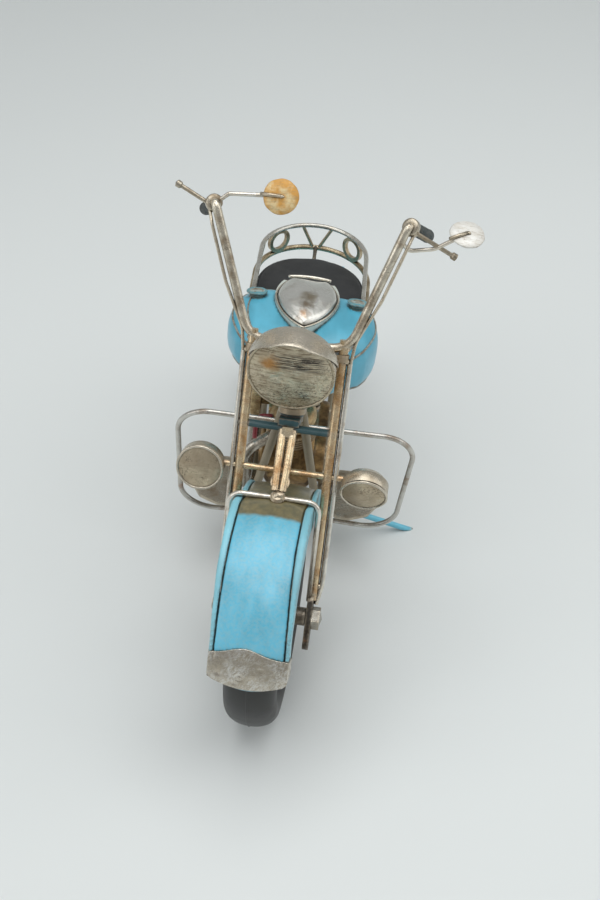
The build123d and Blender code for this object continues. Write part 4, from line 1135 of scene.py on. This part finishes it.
def dome_shape():
    """Domed shield with a rolled foot; the dome is fullest towards the rear."""
    outline = shield_outline()
    middle = Vector((0, 93.5))
    levels = [(1.0, 0.0), (1.0, 0.7), (0.975, 1.5), (0.93, 2.3), (0.84, 3.0)]
    levels += [(0.7, 3.55), (0.5, 3.9), (0.28, 4.1), (0.1, 4.15)]
    rows = []
    for share, rise in levels:
        row = []
        for x, y in outline:
            p = middle + (Vector((x, y)) - middle) * share
            dent = noise.noise(Vector((p.x * 0.16, p.y * 0.16, 2))) * 0.4 * min(1, rise / 2)
            row.append(Vector((p.x, p.y, CONSOLE_Z + rise + dent)))
        rows.append(row)
    return capped(grid(rows, wrap=True), len(outline), len(rows))


class MOTORCYCLE_OT_tank(bpy.types.Operator):
    """Two tank halves with folded seams, the domed console and its rim"""

    bl_idname = "motorcycle.tank"
    bl_label = "Tank"

    def execute(self, context):
        blue = FINISHES["tank_blue"]
        for side, name in ((1, "left"), (-1, "right")):
            shell = make_piece(
                f"tank_shell_{name}", BIKE, tank_shape(side), blue, "frame",
                [f"tank_{name}"],
            )
            shell.modifiers.new("round", "SUBSURF").levels = 1
            seams = joined(
                tank_side_seam(side),
                tank_welt(side, math.radians(62 if side > 0 else 70), 69.0, 106.0, 0.3),
            )
            make_piece(f"tank_seams_{name}", BIKE, seams, FINISHES["tank_seam"], "frame")
        dome = make_piece(
            "console_dome", BIKE, dome_shape(), FINISHES["console_silver"], "frame",
            ["tank_console"],
        )
        give_plan(dome, BIKE, lambda p: (p.x, p.y, 0))
        dome.modifiers.new("round", "SUBSURF").levels = 1
        lip = [Vector((x, SHIELD_REAR + 1.5, CONSOLE_Z + 2.3 - 0.012 * x * x)) for x in range(-8, 9)]
        lip = sweep(lip, 0.62, 10)
        make_piece("console_lip", BIKE, lip, FINISHES["console_silver"], "frame")
        for side, name in ((1, "left"), (-1, "right")):
            foot = (side * 18.6, 94.0, 104.4)
            body = [(0, 0.1), (0, 3.0), (0.4, 2.8), (3.4, 2.7), (3.8, 2.5), (3.8, 0.1)]
            body = lathe(foot, (0, 0, 1), body, 40, 0.15, side)
            make_piece(
                f"cap_body_{name}", BIKE, body, FINISHES["cap_teal"], "frame",
                ["tank_caps"],
            )
            disc = [(2.9, 0.1), (2.9, 3.3), (3.1, 3.8), (3.5, 3.95), (3.8, 3.7), (3.9, 3.2), (3.95, 0.1)]
            disc = lathe(foot, (0.05 * side, 0.3, 1), disc, 48, 0.18, side)
            # painted highlight: the cap's top disc gets a lighter copy of the teal cap paint
            make_piece(f"cap_disc_{name}", BIKE, disc, FINISHES["cap_lit_top"], "frame")
        soften("console_rim", 0.3)
        rim = [Vector((x, y, CONSOLE_Z + 0.15)) for x, y in shield_outline(0.55)]
        bead = sweep(rim + rim[:2], 0.42, 10)
        make_piece("console_bead", BIKE, bead, FINISHES["hoop_silver"], "frame")
        return {"FINISHED"}


# --- seat -----------------------------------------------------------------------------
SEAT_Z = 92.0
SEAT_T = 7.5


def seat_outline():
    """Straight across the front, widening, a flattened arch behind, as (x, y) points."""
    side = arc_through((12.0, 110.5), (18.9, 115.4), (21.3, 124.0), 12)
    side += arc_through((21.3, 124.0), (17.9, 137.2), (9.4, 144.2), 14)[1:]
    back = arc_through((9.4, 144.2), (0, 145.6), (-9.4, 144.2), 14)[1:-1]
    front = [(-12 + 2 * n, 110.5) for n in range(1, 12)]
    return side + back + [(-x, y) for x, y in reversed(side)] + front


def seat_shape():
    """Padded top over a flat base, pulled in at the seam round its shoulder."""
    crown = settings().seat_crown
    outline = seat_outline()
    middle = Vector((0, 127.0))
    low = SEAT_Z - SEAT_T
    levels = [
        (0.05, low), (0.5, low), (0.9, low), (0.965, low + 0.3), (0.99, low + 1.4), (1.0, low + 3.2),
        (0.995, low + 4.8), (0.975, low + 6.0), (0.955, low + 6.3), (0.96, low + 6.7),
        (0.945, low + 7.3), (0.9, low + 7.9), (0.8, low + 8.5), (0.62, low + 9.1), (0.4, low + 9.5),
        (0.2, low + 9.7), (0.05, low + 9.75),
    ]
    rows = []
    for share, z in levels:
        row = []
        for x, y in outline:
            p = middle + (Vector((x, y)) - middle) * share
            lift = (z - low) / 9.75 * (crown - 2.6)
            crease = noise.noise(Vector((p.x * 0.14, p.y * 0.14, z * 0.1))) * 0.5
            crease += noise.noise(Vector((p.x * 0.5, p.y * 0.3, 5))) * 0.14
            dip = 0.5 * math.exp(-(((p.y - 120.0) / 7.0) ** 2)) if z > low + 7 else 0.0
            height = z + lift + (crease if z > low + 1 else 0.0) - dip
            row.append(Vector((p.x, p.y, height)))
        rows.append(row)
    return capped(grid(rows, wrap=True), len(outline), len(rows))


def seat_piping():
    middle = Vector((0, 127.0))
    route = []
    for x, y in seat_outline():
        p = middle + (Vector((x, y)) - middle) * 0.972
        route.append(Vector((p.x, p.y, SEAT_Z - SEAT_T + 6.35)))
    return sweep(route + route[:2], 0.45, 10)


class MOTORCYCLE_OT_seat(bpy.types.Operator):
    """Black padded seat with piping, on a thin metal pan"""

    bl_idname = "motorcycle.seat"
    bl_label = "Seat"

    def execute(self, context):
        black = FINISHES["seat_black"]
        pad = make_piece("seat_pad", BIKE, seat_shape(), black, "frame", ["seat"])
        pad.modifiers.new("round", "SUBSURF").levels = 1
        make_piece("seat_piping", BIKE, seat_piping(), black, "frame")
        middle = Vector((0, 127.0))
        route = []
        for x, y in seat_outline()[8:56]:
            p = middle + (Vector((x, y)) - middle) * 1.03
            route.append(Vector((p.x, p.y, SEAT_Z - SEAT_T + 0.9)))
        pan = sweep(route, 0.55, 10)
        make_piece("seat_pan_edge", BIKE, pan, FINISHES["hoop_silver"], "frame")
        post = sweep([(0, 158.6, 88.4), (0, 152.0, 88.6), (0, 144.0, 88.0)], [0.9, 0.75, 0.9], 14)
        make_piece("rail_post", BIKE, post, FINISHES["plate_steel"], "frame")
        return {"FINISHED"}


# --- handlebar fittings ---------------------------------------------------------------
BAR_TOP = Vector((31.0, 57.5, 166.0))
GRIP_AIM = Vector((0.30, 0.74, -0.60)).normalized()


def mirrored(point, side):
    return Vector((point[0] * side, point[1], point[2]))


def grip_shape(side):
    """Tapered grip wound with cord."""
    outline = [(0.0, 1.5), (0.0, 2.2)]
    for n in range(1, 64):
        along = 0.2 + 15.6 * n / 64
        outline.append((along, 2.05 + 0.16 * math.sin(along * 2 * math.pi / 1.15)))
    outline += [(16.2, 2.3), (16.8, 2.1), (17.0, 1.2)]
    start = mirrored(BAR_TOP + GRIP_AIM * 4.5, side)
    return lathe(start, mirrored(GRIP_AIM, side), outline, 32, wobble=0.1, seed=side)


MIRRORS = (  # name, centre, facing, finish, where its stem comes from
    # the left disc's paler finish is a painted highlight
    ("left", (49.6, 60.0, 163.8), (0.12, -0.24, 0.96), "mirror_lit_white", (-1, -0.75, 0)),
    ("right", (-10.3, 60.0, 169.2), (0.1, -0.8, 0.58), "mirror_cream", (-1, 0, 0)),
)


class MOTORCYCLE_OT_handlebar(bpy.types.Operator):
    """Wound grips, clamps, mirror discs and their clips"""

    bl_idname = "motorcycle.handlebar"
    bl_label = "Handlebar Fittings"

    def execute(self, context):
        half = [Vector((0, 43.3, 124.9)), Vector((16.8, 43.3, 124.9)), BAR_TOP, BAR_TOP + GRIP_AIM * 6.0]
        route = [mirrored(p, -1) for p in reversed(half)] + half[1:]
        make_piece(
            "bar_rod", FORK, sweep(rounded(route, 7.0, 10), 1.5, 20), FINISHES["bar_bronze"],
            "steering", ["handlebar"],
        )
        for side, name in ((1, "left"), (-1, "right")):
            make_piece(
                f"grip_{name}", FORK, grip_shape(side), FINISHES["grip_dark"], "steering",
                ["grips"],
            )
            collar = [(0, 1.4), (0, 2.5), (0.5, 2.75), (2.4, 2.75), (2.9, 2.5), (2.9, 1.4)]
            shape = lathe(mirrored(BAR_TOP + GRIP_AIM * 1.4, side), mirrored(GRIP_AIM, side), collar, 28, 0.15)
            make_piece(f"bar_collar_{name}", FORK, shape, FINISHES["lever_silver"], "steering")
        for number, (name, centre, facing, finish, stem) in enumerate(MIRRORS):
            axis = Vector(facing).normalized()
            outline = [(-0.5, 0.2), (-0.52, 3.0), (-0.45, 5.3), (0.0, 5.7), (0.45, 5.4), (0.6, 3.0), (0.7, 0.2)]
            disc = lathe(centre, axis, outline, 64, wobble=0.22, seed=number * 5.0)
            make_piece(
                f"mirror_disc_{name}", FORK, disc, FINISHES[finish], "steering",
                ["mirrors"],
            )
            along = Vector(stem) - axis * axis.dot(Vector(stem))
            along.normalize()
            on_face = Vector(centre) + axis * 0.9
            arm = sweep([on_face + along * 6.6 - axis * 0.4, on_face + along * 3.0, on_face], 0.62, 12)
            clip = joined(arm, lump(on_face, 0.9, number + 2.0, (1.2, 0.7, 0.6)))
            make_piece(f"mirror_clip_{name}", FORK, clip, FINISHES["lever_silver"], "steering")
        return {"FINISHED"}


# --- solder ---------------------------------------------------------------------------
def solder_places():
    """Where wires and rods are soldered: (body, point, size in usual drops)."""
    places = [("steering", (0.4, 11.6, 85.0), 1.5), ("steering", (0, 29.4, 98.4), 1.0)]
    for side in (-1, 1):
        places += [
            ("steering", (side * 15.0, 23.6, 85.6), 0.9),
            ("steering", (side * 17.6, 23.4, 85.4), 0.8),
            ("steering", (side * 14.6, 3.4, 48.4), 0.9),
            ("steering", leg_point(side * 16.4, 91.5), 1.0),
            ("steering", leg_point(side * 16.8, 12.0), 0.8),
            ("steering", (side * 15.8, 44.6, 124.2), 0.95),
            ("steering", (side * 32.0, 58.8, 163.6), 0.95),
            ("frame", (side * 5.0, 50.4, 83.6), 1.0),
            ("frame", (side * 13.4, 64.4, 25.4), 1.0),
            ("frame", (side * 22.7, 131.0, 88.0), 0.8),
            ("frame", (side * 14.7, 122.2, 66.4), 0.9),
            ("frame", (side * 14.0, 78.0, 25.4), 0.9),
            ("frame", (side * 14.0, 98.0, 25.4), 0.9),
            ("frame", (side * 14.7, 139.6, 43.8), 1.0),
            ("frame", (side * 2.6, 45.0, 100.0), 1.3),
        ]
    return places


class MOTORCYCLE_OT_solder(bpy.types.Operator):
    """Uneven drops of solder where the rods meet"""

    bl_idname = "motorcycle.solder"
    bl_label = "Solder"

    def execute(self, context):
        size = settings().solder_size
        drops = {"steering": [], "frame": []}
        where = {"steering": FORK, "frame": BIKE}
        for number, (body, point, share) in enumerate(solder_places()):
            drops[body].append(lump(point, size * share, number * 1.3, (1.0, 0.9, 0.9)))
        for body, shapes in drops.items():
            make_piece(
                f"solder_{body}", where[body], joined(*shapes), FINISHES["hanger_silver"], body,
            )
        return {"FINISHED"}


# --- yoke and hanger ------------------------------------------------------------------
def block(centre, size, turn, swell=0.0):
    """Worn little block with rounded edges; size is its three half lengths."""
    work = bmesh.new()
    bmesh.ops.create_cube(work, size=2.0)
    bmesh.ops.subdivide_edges(work, edges=work.edges, cuts=4, use_grid_fill=True)
    points = []
    for vert in work.verts:
        lean = Vector([math.copysign(abs(c) ** (1 - swell), c) for c in vert.co])
        tight = max(abs(c) for c in vert.co)
        pulled = vert.co * (0.93 + 0.07 * tight / max(vert.co.length, 0.01))
        p = Vector([a * b for a, b in zip(pulled if swell else lean, size)])
        p += noise.noise_vector(p * 0.4 + Vector(centre)) * 0.14
        points.append(Vector(centre) + turn @ p)
    faces = [tuple(v.index for v in face.verts) for face in work.faces]
    work.free()
    return points, faces


class MOTORCYCLE_OT_yoke(bpy.types.Operator):
    """Slim lower yoke and the two straps that hold the fender"""

    bl_idname = "motorcycle.yoke"
    bl_label = "Yoke and Hanger"

    def execute(self, context):
        tilt = Matrix.Rotation(-RAKE, 3, "X")
        cross = sweep([(x, 30.4, 99.0) for x in range(-17, 18)], 1.15, 14, 1.25)
        tongue = block((0, 33.8, 99.6), (3.6, 4.4, 1.2), tilt, 0.3)
        boss = lathe((0, 37.1, 100.0), (0, 0.454, 0.891), [(-2.4, 2.4), (-2.4, 4.0), (2.6, 4.0), (2.6, 2.4)], 40, 0.2)
        shape = joined(cross, tongue, boss)
        make_piece(
            "yoke_bar", FORK, shape, FINISHES["yoke_teal"], "steering",
            ["lower_yoke"], sharp=50,
        )
        square = block((0, 29.2, 98.6), (1.9, 1.7, 1.8), tilt, 0.3)
        straps = []
        for side in (-1, 1):
            route = [(side * 1.7, 29.4, 99.0), (side * 1.6, 21.0, 92.4), (side * 1.3, 13.0, 86.0)]
            straps.append(sweep(rounded(route, 3.0, 6), 1.0, 14, 1.3))
        eye = []
        for n in range(13):
            a = 2 * math.pi * n / 12
            eye.append((0.55 * math.sin(a), 2.7 + 0.6 * math.cos(a)))
        eye[-1] = eye[0]
        shape = joined(square, *straps, lathe((0, 15.6, 87.6), (0, -0.55, 0.83), eye, 40, 0.15))
        make_piece(
            "hanger_straps", FORK, shape, FINISHES["fork_bronze"], "steering",
            ["fender_hanger"], sharp=50,
        )
        return {"FINISHED"}


# --- engine ---------------------------------------------------------------------------
def dome_screw(centre, axis, radius):
    outline = [(-0.3, radius), (0.3, radius), (0.7, radius * 0.82), (0.95, radius * 0.4), (1.0, 0.05)]
    return lathe(centre, axis, outline, 20)


class MOTORCYCLE_OT_engine(bpy.types.Operator):
    """Cover screws and softened edges"""

    bl_idname = "motorcycle.engine"
    bl_label = "Engine"

    def execute(self, context):
        screws = []
        for n in range(6):
            a = math.radians(30 + 60 * n)
            screws.append(dome_screw((-11.0, 83 + 8.4 * math.cos(a), 44 + 8.4 * math.sin(a)), (-1, 0, 0), 0.8))
        for y in (80.0, 91.0, 102.0):
            for z in (34.6, 48.4):
                screws.append(dome_screw((13.2, y, z), (1, 0, 0), 0.8))
        make_piece("engine_screws", BIKE, joined(*screws), FINISHES["cover_silver"], "frame")
        for node in ("crankcase", "engine_covers", "rocker_covers", "air_cleaner"):
            soften(node, 0.3)
        for node in ("fork_plates", "upper_yoke", "footboards"):
            soften(node, 0.2)
        return {"FINISHED"}


# --- stage ----------------------------------------------------------------------------
CAMERA_FROM_CONTACT = (40.97, -286.46, 373.15)  # millimetres from the front tyre's contact
CAMERA_HEADING, CAMERA_TILT, CAMERA_ROLL = 5.16, 48.23, -0.46  # degrees


def add_camera():
    data = bpy.data.cameras.new("camera")
    data.lens = 50.0
    data.sensor_width = 36.0
    data.clip_start = 0.01
    camera = bpy.data.objects.new("camera", data)
    bpy.context.scene.collection.objects.link(camera)
    place = BIKE.to_translation() + Vector(CAMERA_FROM_CONTACT) * MM
    turn = Matrix.Rotation(math.radians(CAMERA_HEADING), 4, "Z")
    turn = turn @ Matrix.Rotation(math.radians(CAMERA_TILT), 4, "X")
    turn = turn @ Matrix.Rotation(math.radians(CAMERA_ROLL), 4, "Z")
    camera.matrix_world = Matrix.Translation(place) @ turn
    bpy.context.scene.camera = camera


def add_light(name, place, target, size, power, colour=(1, 1, 1)):
    data = bpy.data.lights.new(name, "AREA")
    data.shape = "RECTANGLE"
    data.size, data.size_y = size
    data.energy = power
    data.color = colour
    light = bpy.data.objects.new(name, data)
    bpy.context.scene.collection.objects.link(light)
    light.location = place
    direction = Vector(target) - Vector(place)
    light.rotation_mode = "QUATERNION"
    light.rotation_quaternion = direction.to_track_quat("-Z", "Y")


class MOTORCYCLE_OT_stage(bpy.types.Operator):
    """Pale seamless floor, soft lights and the camera"""

    bl_idname = "motorcycle.stage"
    bl_label = "Stage"

    def execute(self, context):
        material = bpy.data.materials.new("floor")
        material.use_nodes = True
        net = Net(material.node_tree)
        shader = net.add("ShaderNodeBsdfPrincipled", output=None)
        net.add("ShaderNodeOutputMaterial", {"Surface": shader.outputs["BSDF"]}, None)
        place = net.millimetres()
        tone = (*settings().floor_tone, 1)
        dim = [c * 0.97 for c in tone[:3]] + [1]
        colour = net.mix(net.noise(place, 0.004, detail=2.0), dim, tone)
        net.tree.links.new(colour, shader.inputs["Base Color"])
        shader.inputs["Roughness"].default_value = 0.5
        shader.inputs["Specular IOR Level"].default_value = 0.3
        rows = []
        for n in range(41):
            t = n / 40
            y = -1.6 + 3.2 * t
            rise = 0.0 if y < 0.62 else (y - 0.62) ** 2 * 0.9
            rows.append([Vector((x * 0.2, y, rise)) for x in range(-10, 11)])
        points, faces = grid(rows)
        mesh = bpy.data.meshes.new("floor")
        mesh.from_pydata(points, [], faces)
        mesh.shade_smooth()
        floor = bpy.data.objects.new("floor", mesh)
        floor.data.materials.append(material)
        context.scene.collection.objects.link(floor)
        world = context.scene.world or bpy.data.worlds.new("world")
        context.scene.world = world
        world.use_nodes = True
        back = world.node_tree.nodes.get("Background")
        back.inputs["Color"].default_value = (0.93, 0.96, 0.97, 1)
        back.inputs["Strength"].default_value = 0.36
        power = settings().light_power
        add_light("top_light", (0.05, -0.05, 0.95), (0, 0, 0.05), (0.9, 0.9), power)
        add_light("left_light", (-0.85, -0.45, 0.6), (0, 0, 0.08), (0.7, 0.9), power * 0.45)
        add_light("right_light", (0.85, 0.0, 0.55), (0, 0, 0.08), (0.7, 0.9), power * 0.4)
        add_camera()
        context.scene.view_settings.view_transform = "Standard"
        return {"FINISHED"}


class MOTORCYCLE_OT_finishes(bpy.types.Operator):
    """All finishes, put on the carried-over parts"""

    bl_idname = "motorcycle.finishes"
    bl_label = "Finishes"

    def execute(self, context):
        build_finishes()
        steel("fog_face", linear((184, 170, 142)), linear((116, 92, 62)), 0.55, 0.36, 0.16, 0.6, 77.0)
        paint("tank_seam", linear((40, 104, 120)), linear((18, 40, 40)), 0.5, 0.6, 0.36, 31.0)
        # painted highlight: lighter teal for the caps' top discs, over the dark teal of their sides
        paint("cap_lit_top", linear((70, 138, 150)), linear((30, 60, 60)), 0.4, 0.5, 0.36, 41.0)
        return {"FINISHED"}


PIECES = (
    MOTORCYCLE_OT_finishes, MOTORCYCLE_OT_tyres, MOTORCYCLE_OT_front_fender, MOTORCYCLE_OT_lamps,
    MOTORCYCLE_OT_tank, MOTORCYCLE_OT_seat, MOTORCYCLE_OT_handlebar, MOTORCYCLE_OT_yoke,
    MOTORCYCLE_OT_solder, MOTORCYCLE_OT_engine, MOTORCYCLE_OT_stage,
)


class MOTORCYCLE_PT_panel(bpy.types.Panel):
    """Settings and the operators in their order"""

    bl_idname = "MOTORCYCLE_PT_panel"
    bl_label = "Tin Motorcycle"
    bl_space_type = "VIEW_3D"
    bl_region_type = "UI"
    bl_category = "Motorcycle"

    def draw(self, context):
        column = self.layout.column(align=True)
        for name in MotorcycleSettings.__annotations__:
            column.prop(context.scene.motorcycle, name)
        for operator in PIECES:
            column.operator(operator.bl_idname)


CLASSES = (MotorcycleSettings, *PIECES, MOTORCYCLE_PT_panel)


def register():
    for cls in CLASSES:
        bpy.utils.register_class(cls)
    bpy.types.Scene.motorcycle = PointerProperty(type=MotorcycleSettings)


def unregister():
    del bpy.types.Scene.motorcycle
    for cls in reversed(CLASSES):
        bpy.utils.unregister_class(cls)


def main():
    """Registers the add-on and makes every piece."""
    register()
    for operator in PIECES:
        group, name = operator.bl_idname.split(".")
        getattr(getattr(bpy.ops, group), name)()


if __name__ == "__main__":
    main()
